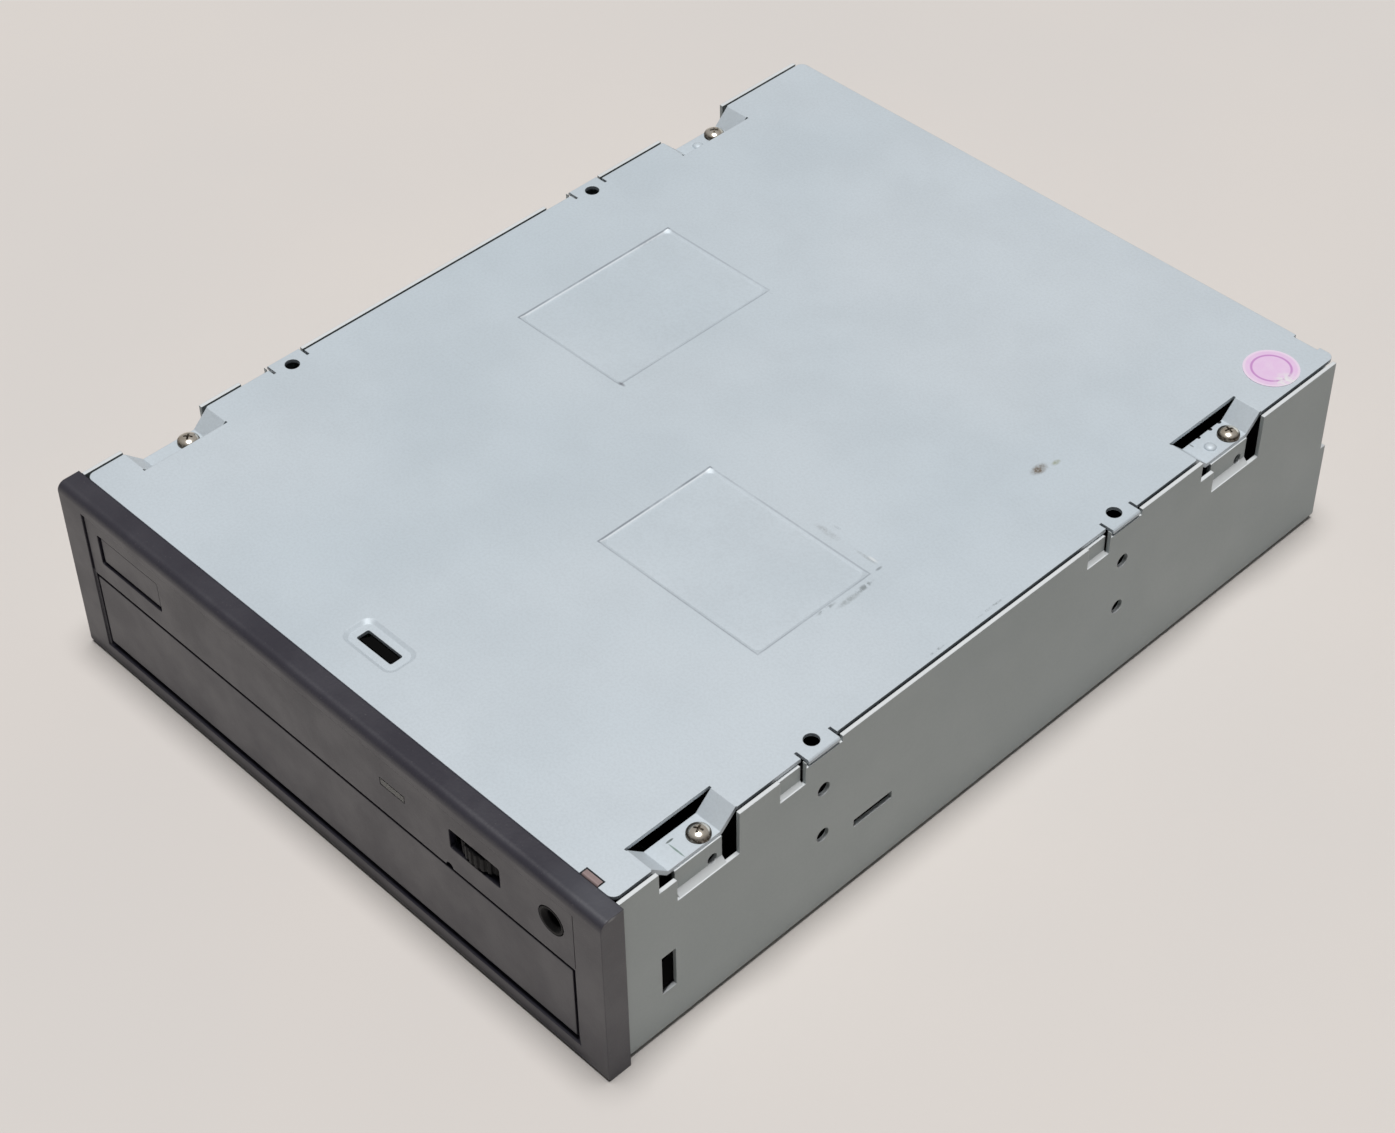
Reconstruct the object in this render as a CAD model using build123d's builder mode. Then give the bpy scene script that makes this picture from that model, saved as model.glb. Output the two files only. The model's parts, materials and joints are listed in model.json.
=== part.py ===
# CD-ROM drive for a half-height 5.25-inch bay, lying on its top cover with the bottom plate up
from build123d import *
import os
from math import atan2, cos, degrees, pi, radians, sin, tan

os.makedirs("parts", exist_ok=True)

# Bay form factor, in millimetres
case_width = 146.0
case_length = 191.0
case_top = 41.6
cover_lift = 0.3
sheet = 0.8
mount_row_from_front = 52.4
mount_row_pitch = 79.25
bottom_hole_inset = 3.15
side_hole_depth = 10.0
side_hole_pitch = 11.84
mount_hole_radius = 1.5

# Top cover, a sheet-metal channel whose open side faces up here
cover_bend = 1.2
wall_top_gap = 0.1
wall_rear_step = 1.5
rear_wall_height = 19.2
hook_slot_start = 8.7
hook_slot_width = 3.3
hook_slot_floor = 10.4
hook_slot_height = 9.6
vent_slot_start = 55.2
vent_slot_length = 9.8
vent_slot_floor = 15.3
vent_slot_height = 1.9
corner_notch_offset = 0.2
corner_notch_length = 18.4
corner_notch_floor = 31.6
corner_step_length = 4.0
corner_step_floor = 36.8
corner_lug_length = 10.8
corner_lug_offset = 4.9
corner_lug_inset = 1.3
corner_lug_rise = 1.3
corner_lug_reach = 4.7
lug_hole_radius = 1.1
lug_hole_rise = 1.9
finger_notch_start = 10.7
finger_notch_length = 6.2
finger_notch_floor = 36.4
finger_inset = 0.9
finger_rise = 0.9
finger_relief = 0.5

# Bottom plate
plate_rear_gap = 0.1
plate_side_gap = 0.6
plate_corner_radius = 1.6
ear_length = 7.6
ear_slit_width = 0.6
ear_slit_depth = 3.0
ear_gap = 0.6
ear_chamfer = 0.3
tab_drop = 3.4
tab_length = 19.4
tab_ramp = 3.6
tab_slit_width = 0.5
tab_width = 7.4
tab_edge_inset = 0.3
front_tab_start = 8.5
rear_tab_start = 148.4
screw_inset = 3.8
front_screw_row = 21.3
rear_screw_row = 161.5
screw_hole_radius = 1.4
emboss_depth = 0.35
emboss_slope = 0.8
small_panel_size = (29.4, 41.2)
small_panel_centre = (-34.9, 108.3)
large_panel_size = (40.9, 28.7)
large_panel_centre = (29.1, 69.3)
window_size = (9.4, 2.8)
window_centre = (1.1, 10.2)
window_corner_radius = 0.4
window_dish_size = (14.0, 7.2)
window_dish_depth = 0.5
window_dish_radius = 2.0
screw_head_radius = 2.3
screw_head_height = 1.5
screw_head_chamfer = 0.6
cover_screw_radius = 0.95
cover_pilot_radius = 1.0
screw_length = 7.0
disc_label_inset = 7.8
disc_label_row = 179.3
disc_label_radius = 5.5
disc_label_thickness = 0.12
ground_finger_inset = 7.2
ground_finger_width = 3.8
ground_finger_thickness = 0.3
ground_notch_depth = 1.7
rear_flange_floor = 20.0
rear_notch_width = 5.7
rear_notch_inset = 7.8

# Front bezel
bezel_overhang = 1.0
bezel_height = 41.4
bezel_depth = 5.1
bezel_wall = 2.0
bezel_edge_radius = 1.0
bezel_top_radius = 1.8
panel_side_margin = 6.7
panel_top_margin = 3.2
panel_step = 0.3
panel_groove = 0.5
panel_groove_depth = 0.35
door_side_margin = 7.3
door_opening_floor = 3.9
door_opening_height = 19.6
door_gap = 0.7
door_wall = 2.0
door_rim = 1.4
eject_pin_radius = 0.9
eject_pin_inset = 38.7
hook_arm = 1.2
hook_arm_gap = 0.3

# Operating parts seen through the bezel
button_width = 17.6
button_height = 6.3
button_inset = 19.9
button_row = 31.6
button_clearance = 0.5
button_gap = 0.2
button_depth = 4.2
button_recess = 0.3
button_wall = 1.4
plunger_length = 2.6
button_travel = 1.0
jack_inset = 12.6
jack_row = 31.7
jack_nose_radius = 2.9
jack_bore_radius = 1.8
jack_mouth_radius = 2.5
jack_mouth_depth = 0.9
jack_length = 14.0
jack_body_start = 0.6
wheel_inset = 31.6
wheel_row = 31.45
wheel_window_width = 12.8
wheel_window_height = 4.9
wheel_radius = 8.0
wheel_thickness = 3.0
wheel_proud = 0.4
wheel_knurls = 36
pot_shaft_radius = 1.5
lamp_inset = 52.9
lamp_row = 31.5
lamp_size = (6.2, 1.4)

# Loader frame
frame_start = 2.0
frame_rear_gap = 4.0
frame_side_gap = 3.4
frame_wall = 2.0
frame_floor = 5.2
frame_wall_top = 34.0
deck_floor = 18.5
deck_thickness = 2.0
rail_width = 5.3
rail_floor = 15.3
boss_radius = 2.6
boss_lug_gap = 0.2
pilot_radius = 1.25
post_radius = 2.5
hold_down_width = 9.0
hold_down_reach = 5.0
hold_down_thickness = 1.6
hold_down_rows = (14.0, 48.0, 108.0, 150.0)
cam_guide_across = (-18.0, 30.0)
cam_guide_width = 6.0
bridge_boss_radius = 2.4
bridge_boss_height = 7.0
main_post_inset = 11.8
main_post_pitch = 100.0

# Tray
tray_side_gap = 0.8
tray_floor = 7.4
tray_skin = 1.8
tray_rear_gap = 15.6
tray_start = 0.6
tray_skirt = 2.0
tray_skirt_height = 7.6
tray_running_gap = 0.3
disc_hub_radius = 7.5
disc_thickness = 1.2
recess_radius = 61.0
recess_depth = 2.6
small_recess_radius = 40.5
small_recess_depth = 1.2
recess_wall = 1.4
slot_half_width = 23.0
rack_start = 9.0
door_clip_across = 40.0
door_clip_width = 8.0
door_clip_height = 2.4
door_depth = 4.6
door_lip_radius = 1.2
door_rib_pitch = 24.0

# Loading drive
rack_module = 1.0
gear_module = 0.8
pinion_teeth = 16
wheel_teeth = 40
pulley_pinion_teeth = 12
gear_centre_gap = 0.12
tooth_play = 0.25
rack_inset = 14.0
rack_thickness = 3.5
rack_depth = 6.6
drive_gear_row = 20.0
pulley_gear_row = 14.0
motor_across = 8.0
motor_row = 13.0
gear_floor = 13.2
pinion_height = 3.0
gear_height = 1.8
pulley_height = 2.6
pulley_groove_radius = 10.0
pulley_rim = 1.0
motor_groove_radius = 2.3
belt_thickness = 1.2
belt_gap = 0.08
belt_side_gap = 0.1
gear_axle_radius = 2.0
running_gap = 0.06
motor_radius = 12.2
motor_height = 12.0
motor_shaft_radius = 1.0

# Cam and lift frame
spindle_row = 72.0
hinge_row = 160.0
hinge_height = 19.7
lift_angle = 3.12
cam_row = 38.2
cam_wall = 2.0
cam_travel = 13.0
cam_pin_radius = 1.5
cam_pin_across = 22.0
cam_slot_gap = 0.35
cam_floor = 16.2
cam_top = 30.2
cam_wall_end = 27.0
cam_arm_back = 6.12
cam_arm_length = 23.0
cam_foot_middle = -8.0
cam_foot_length = 50.0
cam_foot_reach = 7.0
cam_foot_thickness = 1.6
lift_half_width = 46.0
lift_bar = 8.0
lift_floor = 17.2
lift_thickness = 5.0
lift_front = 42.0
lift_rear = 164.0
trunnion_radius = 2.0
trunnion_length = 4.0

# Traverse: the plate that carries spindle and pickup
traverse_floor = 15.2
traverse_thickness = 1.2
traverse_half_width = 45.0
traverse_front = 45.5
traverse_rear = 160.0
damper_across = 41.5
damper_rows = (50.0, 155.0)
damper_radius = 4.0
damper_neck = 2.8
damper_flange = 1.0
damper_head_radius = 3.0
damper_head_height = 1.2
damper_screw_radius = 1.2
turntable_height = 9.4
turntable_radius = 14.5
turntable_flange = 2.0
hub_height = 2.2
hub_boss_radius = 4.0
spindle_motor_height = 10.4
rod_across = 19.0
rod_height = 19.6
rod_radius = 1.5
sled_start = 86.0
sled_length = 32.0
sled_travel = 34.0
sled_half_width = 22.0
sled_floor = 13.2
sled_height = 8.4
sled_tower = 1.6
sled_tower_size = (26.0, 15.0)
sled_nose_cut = 2.0
nut_length = 8.0
nut_thickness = 0.8
nut_foot_width = 6.0
lug_size = 6.0
lens_offset = 10.0
lens_radius = 2.6
lens_holder_size = (16.0, 8.0)
lens_holder_height = 2.6
lens_height = 10.9
screw_across_traverse = 30.0
lead_screw_height = 22.3
lead_screw_radius = 1.5
sled_motor_radius = 5.5
sled_motor_length = 11.0

# Clamp
bridge_floor = 4.2
bridge_thickness = 1.0
bridge_width = 34.0
bridge_screw_outset = 0.5
bridge_screw_offset = 11.0
clamp_neck_radius = 12.0
clamp_flange_radius = 15.5
clamp_body_radius = 15.0
clamp_flange_height = 1.2
bridge_end_gap = 0.6
bridge_rib_inset = 12.6
bridge_rib_length = 36.0
bridge_rib_wall = 0.8

# Boards and rear connectors
board_floor = 35.4
board_thickness = 1.6
front_board_inset = 3.3
front_board_start = 1.6
front_board_depth = 24.0
front_post_across = 30.0
front_post_margin = 4.0
main_board_inset = 4.8
main_board_start = 62.0
main_board_rear_gap = 3.5
board_notch_inset = 9.3
board_notch_width = 8.0
front_notch_start = 10.6
rear_notch_start = 146.0
rear_notch_length = 26.0
ide_width = 58.2
ide_inset = 64.0
power_width = 23.0
power_inset = 19.0
audio_width = 17.5
audio_inset = 20.5
jumper_width = 13.2
jumper_inset = 41.0
socket_floor = 25.8
socket_depth = 9.6
pin_pitch = 2.54
socket_length = 11.0
chip_height = 2.2
chip_places = (
    (18.0, 12.0, 20.0, 14.0),
    (-22.0, 10.0, 20.0, 20.0),
    (-4.0, -22.0, 18.0, 8.0),
    (34.0, -20.0, 10.0, 16.0),
)
ribbon_width = 18.0
ribbon_start = 172.0
socket_gap = 0.3
front_y = -(bezel_depth + case_length) / 2
case_front = front_y + bezel_depth
half_case = case_width / 2
half_bezel = half_case + bezel_overhang
bezel_width = 2 * half_bezel
bottom_hole_spacing = case_width - 2 * bottom_hole_inset
plate_length = case_length - plate_rear_gap
tab_inner_edge = half_case - tab_width
tab_outer_edge = half_case - corner_lug_inset - tab_edge_inset
screw_across = half_case - screw_inset
disc_label_centre = (half_case - disc_label_inset, disc_label_row)
ground_finger_across = half_case - ground_finger_inset
rear_notch_across = half_case - rear_notch_inset
door_opening_width = bezel_width - 2 * door_side_margin
eject_pin_across = half_bezel - eject_pin_inset
button_centre = (button_inset - half_bezel, button_row)
jack_centre = (half_bezel - jack_inset, jack_row)
wheel_centre = (half_bezel - wheel_inset, wheel_row)
lamp_centre = (half_bezel - lamp_inset, lamp_row)
frame_length = case_length - frame_start - frame_rear_gap
frame_half_width = half_case - sheet - frame_side_gap
tray_half_width = frame_half_width - frame_wall - tray_side_gap
tray_length = frame_length - tray_rear_gap
rack_pitch_line = rack_inset - tray_half_width
main_post_across = frame_half_width - main_post_inset
bridge_screw_across = frame_half_width + bridge_screw_outset
bridge_half_length = half_case - sheet - bridge_end_gap
front_board_width = 2 * (frame_half_width - front_board_inset)
main_board_width = 2 * (frame_half_width - main_board_inset)
main_board_end = case_length - main_board_rear_gap
board_notch_across = frame_half_width - board_notch_inset + board_notch_width / 2
ide_across = half_case - ide_inset
power_across = half_case - power_inset
audio_across = audio_inset - half_case
jumper_across = jumper_inset - half_case
rear_sockets = (
    (ide_width, ide_across),
    (power_width, power_across),
    (audio_width, audio_across),
    (jumper_width, jumper_across),
)
BASE = (Align.CENTER, Align.CENTER, Align.MIN)
LOW = (Align.CENTER, Align.MIN)


def inside(distance):
    """Y at a distance behind the bezel's back face."""
    return case_front + distance


def gear_face(teeth, module, turn):
    """Outline of a spur gear with straight-flanked teeth, one of them at the angle turn."""
    pitch_radius = teeth * module / 2
    levels = ((-1.2 * module, 1), (0.85 * module, 1), (0.85 * module, -1), (-1.2 * module, -1))
    points = []
    for tooth in range(teeth):
        for rise, side in levels:
            half = pi * module / 4 - tooth_play / 2 - rise * tan(radians(20))
            angle = radians(turn) + 2 * pi * tooth / teeth - side * half / pitch_radius
            radius = pitch_radius + rise
            points.append((radius * cos(angle), radius * sin(angle)))
    with BuildSketch() as face:
        with BuildLine():
            Polyline(*points, close=True)
        make_face()
    return face.sketch


def rack_face(first, last, phase, module, back, side):
    """Outline of a rack along Y: teeth towards +X or -X, with a gap centred at the phase."""
    pitch = pi * module
    points = [(side * -back, first), (side * -1.2 * module, first)]
    tooth = 0
    while phase + (tooth - 0.5) * pitch > first + pitch:
        tooth -= 1
    while phase + (tooth + 0.5) * pitch < last - pitch / 2:
        centre = phase + (tooth + 0.5) * pitch
        if centre > first + pitch / 2:
            for rise, edge in ((-1.2, -1), (0.85, -1), (0.85, 1), (-1.2, 1)):
                half = pitch / 4 - tooth_play / 2 - rise * module * tan(radians(20))
                points.append((side * rise * module, centre + edge * half))
        tooth += 1
    points += [(side * -1.2 * module, last), (side * -back, last)]
    with BuildSketch() as face:
        with BuildLine():
            Polyline(*points, close=True)
        make_face()
    return face.sketch


def joggle(base, inset, rise, top, reach):
    """Section of a tab pressed inwards from the right-hand wall, turned in at its end by the reach."""
    tab_x = half_case - inset - sheet / 2
    points = [(half_case - sheet / 2, base - sheet / 2), (tab_x, base - sheet / 2 + rise), (tab_x, top)]
    if reach:
        points.append((tab_x - reach, top))
    with BuildSketch() as face:
        with BuildLine():
            Polyline(*points)
        trace(line_width=sheet)
    return face.sketch


def finish(builder, name):
    """Label a finished piece and write it to its own file."""
    builder.part.label = name
    export_step(builder.part, f"parts/{name}.step")


front_row_y = front_y + mount_row_from_front
mount_centre_y = front_row_y + mount_row_pitch / 2
cover_inner = cover_lift + sheet
wall_top = case_top - wall_top_gap
wall_inner = half_case - sheet
plate_floor = case_top - sheet
rear_y = inside(case_length)
deck_top = deck_floor + deck_thickness
main_post_y = inside((main_board_start + main_board_end) / 2)
board_top = board_floor + board_thickness

# Top cover
corner_rows = (inside(front_tab_start), inside(rear_tab_start))
finger_row = mount_centre_y - finger_notch_start + finger_notch_length / 2
with BuildPart() as top_cover:
    with BuildSketch(Plane.XZ.offset(-rear_y)):
        with Locations((0, cover_lift)):
            Rectangle(case_width, wall_top - cover_lift, align=LOW)
        fillet(vertices().group_by(Axis.Y)[0], cover_bend)
        with Locations((0, cover_inner)):
            Rectangle(case_width - 2 * sheet, wall_top, align=LOW, mode=Mode.SUBTRACT)
    extrude(amount=case_length)
    with BuildSketch(Plane.XZ.offset(-rear_y)):
        with Locations((0, cover_inner)):
            Rectangle(case_width - 2 * sheet, rear_wall_height - sheet, align=LOW)
    extrude(amount=sheet)
    with BuildSketch(Plane.YZ):
        with Locations((rear_y, cover_lift + rear_wall_height)):
            Rectangle(2 * wall_rear_step, case_top, align=LOW)
        with Locations((mount_centre_y, case_top - side_hole_depth - side_hole_pitch / 2)):
            with GridLocations(mount_row_pitch, side_hole_pitch, 2, 2):
                Circle(mount_hole_radius)
        with Locations((inside(hook_slot_start + hook_slot_width / 2), hook_slot_floor)):
            Rectangle(hook_slot_width, hook_slot_height, align=LOW)
        with Locations((inside(vent_slot_start + vent_slot_length / 2), vent_slot_floor)):
            Rectangle(vent_slot_length, vent_slot_height, align=LOW)
        for corner_y in corner_rows:
            notch_start = corner_y + corner_notch_offset
            notch_low = corner_notch_length - corner_step_length
            with Locations((notch_start + corner_notch_length / 2, corner_step_floor)):
                Rectangle(corner_notch_length, case_top, align=LOW)
            with Locations((notch_start + corner_step_length + notch_low / 2, corner_notch_floor)):
                Rectangle(notch_low, case_top, align=LOW)
        with Locations((mount_centre_y, plate_floor - ear_gap)):
            with GridLocations(mount_row_pitch, 0, 2, 1):
                Rectangle(ear_length + 2 * ear_slit_width, case_top, align=LOW)
        with Locations((finger_row, finger_notch_floor)):
            with GridLocations(mount_row_pitch, 0, 2, 1):
                Rectangle(finger_notch_length, case_top, align=LOW)
    extrude(amount=case_width, both=True, mode=Mode.SUBTRACT)
    lug_top = case_top - tab_drop - 1.5 * sheet
    for corner_y in corner_rows:
        with BuildSketch(Plane.XZ.offset(-(corner_y + corner_lug_offset + corner_lug_length))):
            add(joggle(corner_notch_floor, corner_lug_inset, corner_lug_rise, lug_top, corner_lug_reach))
        extrude(amount=corner_lug_length)
    for mount_row in (-1, 1):
        finger_end = finger_row + mount_row * mount_row_pitch / 2 + finger_notch_length / 2 - finger_relief
        with BuildSketch(Plane.XZ.offset(-finger_end)):
            add(joggle(finger_notch_floor, finger_inset, finger_rise, plate_floor - ear_gap / 2, 0))
        extrude(amount=finger_notch_length - 2 * finger_relief)
    mirror(top_cover.part.split(Plane.YZ, keep=Keep.TOP), about=Plane.YZ)
    with BuildSketch(Plane.XY.offset(case_top - tab_drop - 2 * sheet)):
        with Locations((0, inside(front_screw_row)), (0, inside(rear_screw_row))):
            with GridLocations(2 * screw_across, 0, 2, 1):
                Circle(cover_pilot_radius)
    extrude(amount=sheet, both=True, mode=Mode.SUBTRACT)
    with BuildSketch(Plane.YZ):
        lug_hole_z = corner_notch_floor + lug_hole_rise
        lug_hole_y = corner_lug_offset + corner_lug_length - 2 * lug_hole_radius
        with Locations(*[(y + lug_hole_y, lug_hole_z) for y in corner_rows]):
            Circle(lug_hole_radius)
    extrude(amount=case_width, both=True, mode=Mode.SUBTRACT)
finish(top_cover, "top_cover")

# Bottom plate with sunken corner tabs, ears with the mounting holes and a flange at the rear
plate_half = wall_inner - plate_side_gap
tab_rows = (inside(front_tab_start), inside(rear_tab_start))
tab_z = case_top - tab_drop
plate_rear = inside(plate_length)
with BuildPart() as bottom_plate:
    with BuildSketch(Plane.XY.offset(plate_floor)):
        with Locations((0, inside(plate_length / 2))):
            Rectangle(2 * plate_half, plate_length)
        fillet(vertices(), plate_corner_radius)
        with Locations((0, mount_centre_y)):
            with GridLocations(0, mount_row_pitch, 1, 2):
                Rectangle(case_width, ear_length)
            with GridLocations(bottom_hole_spacing, mount_row_pitch, 2, 2):
                Circle(mount_hole_radius, mode=Mode.SUBTRACT)
            with GridLocations(case_width - ear_slit_depth, mount_row_pitch, 2, 2):
                with GridLocations(0, ear_length + ear_slit_width, 1, 2):
                    Rectangle(ear_slit_depth, ear_slit_width, mode=Mode.SUBTRACT)
        with Locations(*[(0, y + tab_length / 2) for y in tab_rows]):
            with GridLocations(2 * half_case, 0, 2, 1):
                tab_cut = 2 * (half_case - tab_inner_edge + tab_slit_width)
                Rectangle(tab_cut, tab_length, mode=Mode.SUBTRACT)
        with Locations((rear_notch_across, plate_rear)):
            Rectangle(rear_notch_width, 2 * sheet, mode=Mode.SUBTRACT)
        with Locations((ground_finger_across, case_front)):
            Rectangle(ground_finger_width + 0.6, 2 * ground_notch_depth, mode=Mode.SUBTRACT)
    extrude(amount=sheet)
    for tab_y in tab_rows:
        with BuildSketch(Plane.YZ.offset(tab_inner_edge)):
            with BuildLine():
                Polyline(
                    (tab_y - sheet / 2, case_top - sheet / 2),
                    (tab_y, case_top - sheet / 2),
                    (tab_y + tab_ramp, tab_z - sheet / 2),
                    (tab_y + tab_length - tab_ramp, tab_z - sheet / 2),
                    (tab_y + tab_length, case_top - sheet / 2),
                    (tab_y + tab_length + sheet / 2, case_top - sheet / 2),
                )
            trace(line_width=sheet)
        extrude(amount=tab_outer_edge - tab_inner_edge)
        mirror(bottom_plate.part.split(Plane.YZ, keep=Keep.TOP), about=Plane.YZ)
    with BuildSketch(Plane.XY.offset(tab_z)):
        with Locations((0, inside(front_screw_row)), (0, inside(rear_screw_row))):
            with GridLocations(2 * screw_across, 0, 2, 1):
                Circle(screw_hole_radius)
    extrude(amount=2 * sheet, both=True, mode=Mode.SUBTRACT)
    pressings = (
        (small_panel_size, small_panel_centre, plate_corner_radius, emboss_depth),
        (large_panel_size, large_panel_centre, plate_corner_radius, emboss_depth),
        (window_dish_size, window_centre, window_dish_radius, window_dish_depth),
    )
    for size, centre, radius, depth in pressings:
        place = (centre[0], inside(centre[1]))
        with BuildSketch(Plane.XY.offset(plate_floor - depth)):
            with Locations(place):
                RectangleRounded(*size, radius)
        extrude(amount=depth)
        with BuildSketch(Plane.XY.offset(case_top)):
            with Locations(place):
                RectangleRounded(*size, radius)
        with BuildSketch(Plane.XY.offset(case_top - depth)):
            with Locations(place):
                floor_size = [side - 2 * emboss_slope for side in size]
                RectangleRounded(*floor_size, radius - emboss_slope / 2)
        loft(mode=Mode.SUBTRACT)
    with BuildSketch(Plane.XY.offset(plate_floor - 2 * window_dish_depth)):
        with Locations((window_centre[0], inside(window_centre[1]))):
            RectangleRounded(*window_size, window_corner_radius)
    extrude(amount=sheet + 2 * window_dish_depth, mode=Mode.SUBTRACT)
    ear_edges = bottom_plate.edges().filter_by(Axis.Y).group_by(Axis.Z)[-1].sort_by(Axis.X)
    chamfer(ear_edges[:2] + ear_edges[-2:], ear_chamfer)
    with BuildSketch(Plane.XZ.offset(-plate_rear)):
        with Locations((0, rear_flange_floor)):
            Rectangle(2 * plate_half - 2 * plate_corner_radius, plate_floor - rear_flange_floor, align=LOW)
        for width, across in rear_sockets:
            with Locations((across, socket_floor - socket_gap)):
                opening = (width + 2 * socket_gap, socket_depth + 2 * socket_gap)
                Rectangle(*opening, align=LOW, mode=Mode.SUBTRACT)
        with Locations((rear_notch_across, plate_floor)):
            Rectangle(rear_notch_width, 4 * sheet, mode=Mode.SUBTRACT)
    extrude(amount=sheet)
finish(bottom_plate, "bottom_plate")

# Four pan-head screws that hold the plate and the cover's lugs to the frame
with BuildPart() as cover_screws:
    with BuildSketch(Plane.XY.offset(tab_z)):
        with Locations((0, inside(front_screw_row)), (0, inside(rear_screw_row))):
            with GridLocations(2 * screw_across, 0, 2, 1):
                Circle(screw_head_radius)
    extrude(amount=screw_head_height)
    chamfer(cover_screws.edges().group_by(Axis.Z)[-1], screw_head_chamfer)
    with BuildSketch(Plane.XY.offset(tab_z - screw_length)):
        with Locations((0, inside(front_screw_row)), (0, inside(rear_screw_row))):
            with GridLocations(2 * screw_across, 0, 2, 1):
                Circle(cover_screw_radius)
    extrude(amount=screw_length)
finish(cover_screws, "cover_screws")

# Round inspection disc stuck on the plate
with BuildPart() as inspection_disc:
    with BuildSketch(Plane.XY.offset(case_top)):
        with Locations((disc_label_centre[0], inside(disc_label_centre[1]))):
            Circle(disc_label_radius)
    extrude(amount=disc_label_thickness)
finish(inspection_disc, "inspection_disc")

# Small spring finger of the front board that grounds the plate's front edge
with BuildPart() as ground_finger:
    with BuildSketch(Plane.YZ.offset(ground_finger_across - ground_finger_width / 2)):
        with BuildLine():
            finger_foot = inside(ground_finger_thickness)
            finger_head = case_top - ground_finger_thickness / 2
            FilletPolyline(
                (finger_foot, board_top + ground_finger_thickness),
                (finger_foot, finger_head),
                (inside(ground_notch_depth - ground_finger_thickness), finger_head),
                radius=ground_finger_thickness,
            )
        trace(line_width=ground_finger_thickness)
    extrude(amount=ground_finger_width)
finish(ground_finger, "ground_finger")

# Front bezel
door_centre_z = door_opening_floor + door_opening_height / 2
hook_y = inside(hook_slot_start + hook_slot_width / 2)
with BuildPart() as front_bezel:
    with BuildSketch(Plane.XZ.offset(-case_front)):
        Rectangle(bezel_width, bezel_height, align=LOW)
    extrude(amount=bezel_depth)
    front_edges = front_bezel.faces().sort_by(Axis.Y)[0].edges().sort_by(Axis.Z)
    fillet(front_edges[-1], bezel_top_radius)
    fillet(front_edges[:-1], bezel_edge_radius)
    with BuildSketch(Plane.XZ.offset(-front_y)):
        with Locations((0, door_opening_floor)):
            panel_height = bezel_height - panel_top_margin - door_opening_floor
            Rectangle(bezel_width - 2 * panel_side_margin, panel_height, align=LOW)
    extrude(amount=-panel_step, mode=Mode.SUBTRACT)
    with BuildSketch(Plane.XZ.offset(-(front_y + panel_step))):
        strip_floor = door_opening_floor + door_opening_height + panel_groove
        with Locations((0, strip_floor)):
            strip_height = bezel_height - panel_top_margin - strip_floor
            Rectangle(bezel_width - 2 * panel_side_margin, strip_height, align=LOW)
            Rectangle(
                bezel_width - 2 * panel_side_margin - 2 * panel_groove,
                strip_height - panel_groove,
                align=LOW,
                mode=Mode.SUBTRACT,
            )
    extrude(amount=-panel_groove_depth, mode=Mode.SUBTRACT)
    with BuildSketch(Plane.XZ.offset(-case_front)):
        with Locations((0, door_centre_z)):
            Rectangle(door_opening_width, door_opening_height)
    extrude(amount=bezel_depth, mode=Mode.SUBTRACT)
    with BuildSketch(Plane.XZ.offset(-case_front)):
        with Locations((0, door_opening_floor + door_opening_height + bezel_wall)):
            hollow_height = bezel_height - door_opening_floor - door_opening_height - 2 * bezel_wall
            Rectangle(bezel_width - 2 * bezel_wall, hollow_height, align=LOW)
    extrude(amount=bezel_depth - bezel_wall, mode=Mode.SUBTRACT)
    with BuildSketch(Plane.XZ.offset(-case_front)):
        with Locations(button_centre):
            button_hole = (button_width + 2 * button_clearance, button_height + 2 * button_clearance)
            RectangleRounded(*button_hole, button_clearance)
        with Locations(jack_centre):
            Circle(jack_nose_radius + button_gap)
        with Locations(wheel_centre):
            RectangleRounded(wheel_window_width, wheel_window_height, button_clearance)
        with Locations(lamp_centre):
            Rectangle(lamp_size[0] + 2 * button_gap, lamp_size[1] + 2 * button_gap)
        with Locations((eject_pin_across, door_opening_floor + door_opening_height)):
            Circle(eject_pin_radius)
    extrude(amount=bezel_depth, mode=Mode.SUBTRACT)
    for side in (-1, 1):
        arm_x = side * (wall_inner - hook_arm_gap - hook_arm / 2)
        with BuildSketch(Plane.XY.offset(hook_slot_floor + 1.0)):
            with BuildLine():
                Polyline(
                    (arm_x - side * hook_arm / 2, case_front - bezel_wall),
                    (arm_x + side * hook_arm / 2, case_front - bezel_wall),
                    (arm_x + side * hook_arm / 2, hook_y - hook_slot_width / 2 + 0.3),
                    (side * (half_case - 0.1), hook_y - hook_slot_width / 2 + 0.3),
                    (arm_x + side * hook_arm / 2, hook_y + hook_slot_width / 2 + 0.6),
                    (arm_x - side * hook_arm / 2, hook_y + hook_slot_width / 2 + 0.6),
                    close=True,
                )
            make_face()
        extrude(amount=hook_slot_height - 2.0)
    with BuildSketch(Plane.YZ.offset(window_centre[0] - window_size[0] / 2 + 0.6)):
        window_y = inside(window_centre[1])
        hook_top = plate_floor - window_dish_depth - 0.3
        with BuildLine():
            Polyline(
                (case_front - bezel_wall, hook_top - hook_arm),
                (window_y + 2.2, hook_top - hook_arm),
                (window_y + 2.2, hook_top),
                (window_y + 1.1, hook_top),
                (window_y - 1.1, case_top - window_dish_depth - 0.1),
                (window_y - 1.1, hook_top),
                (case_front - bezel_wall, hook_top),
                close=True,
            )
        make_face()
    extrude(amount=window_size[0] - 1.2)
finish(front_bezel, "front_bezel")

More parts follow.
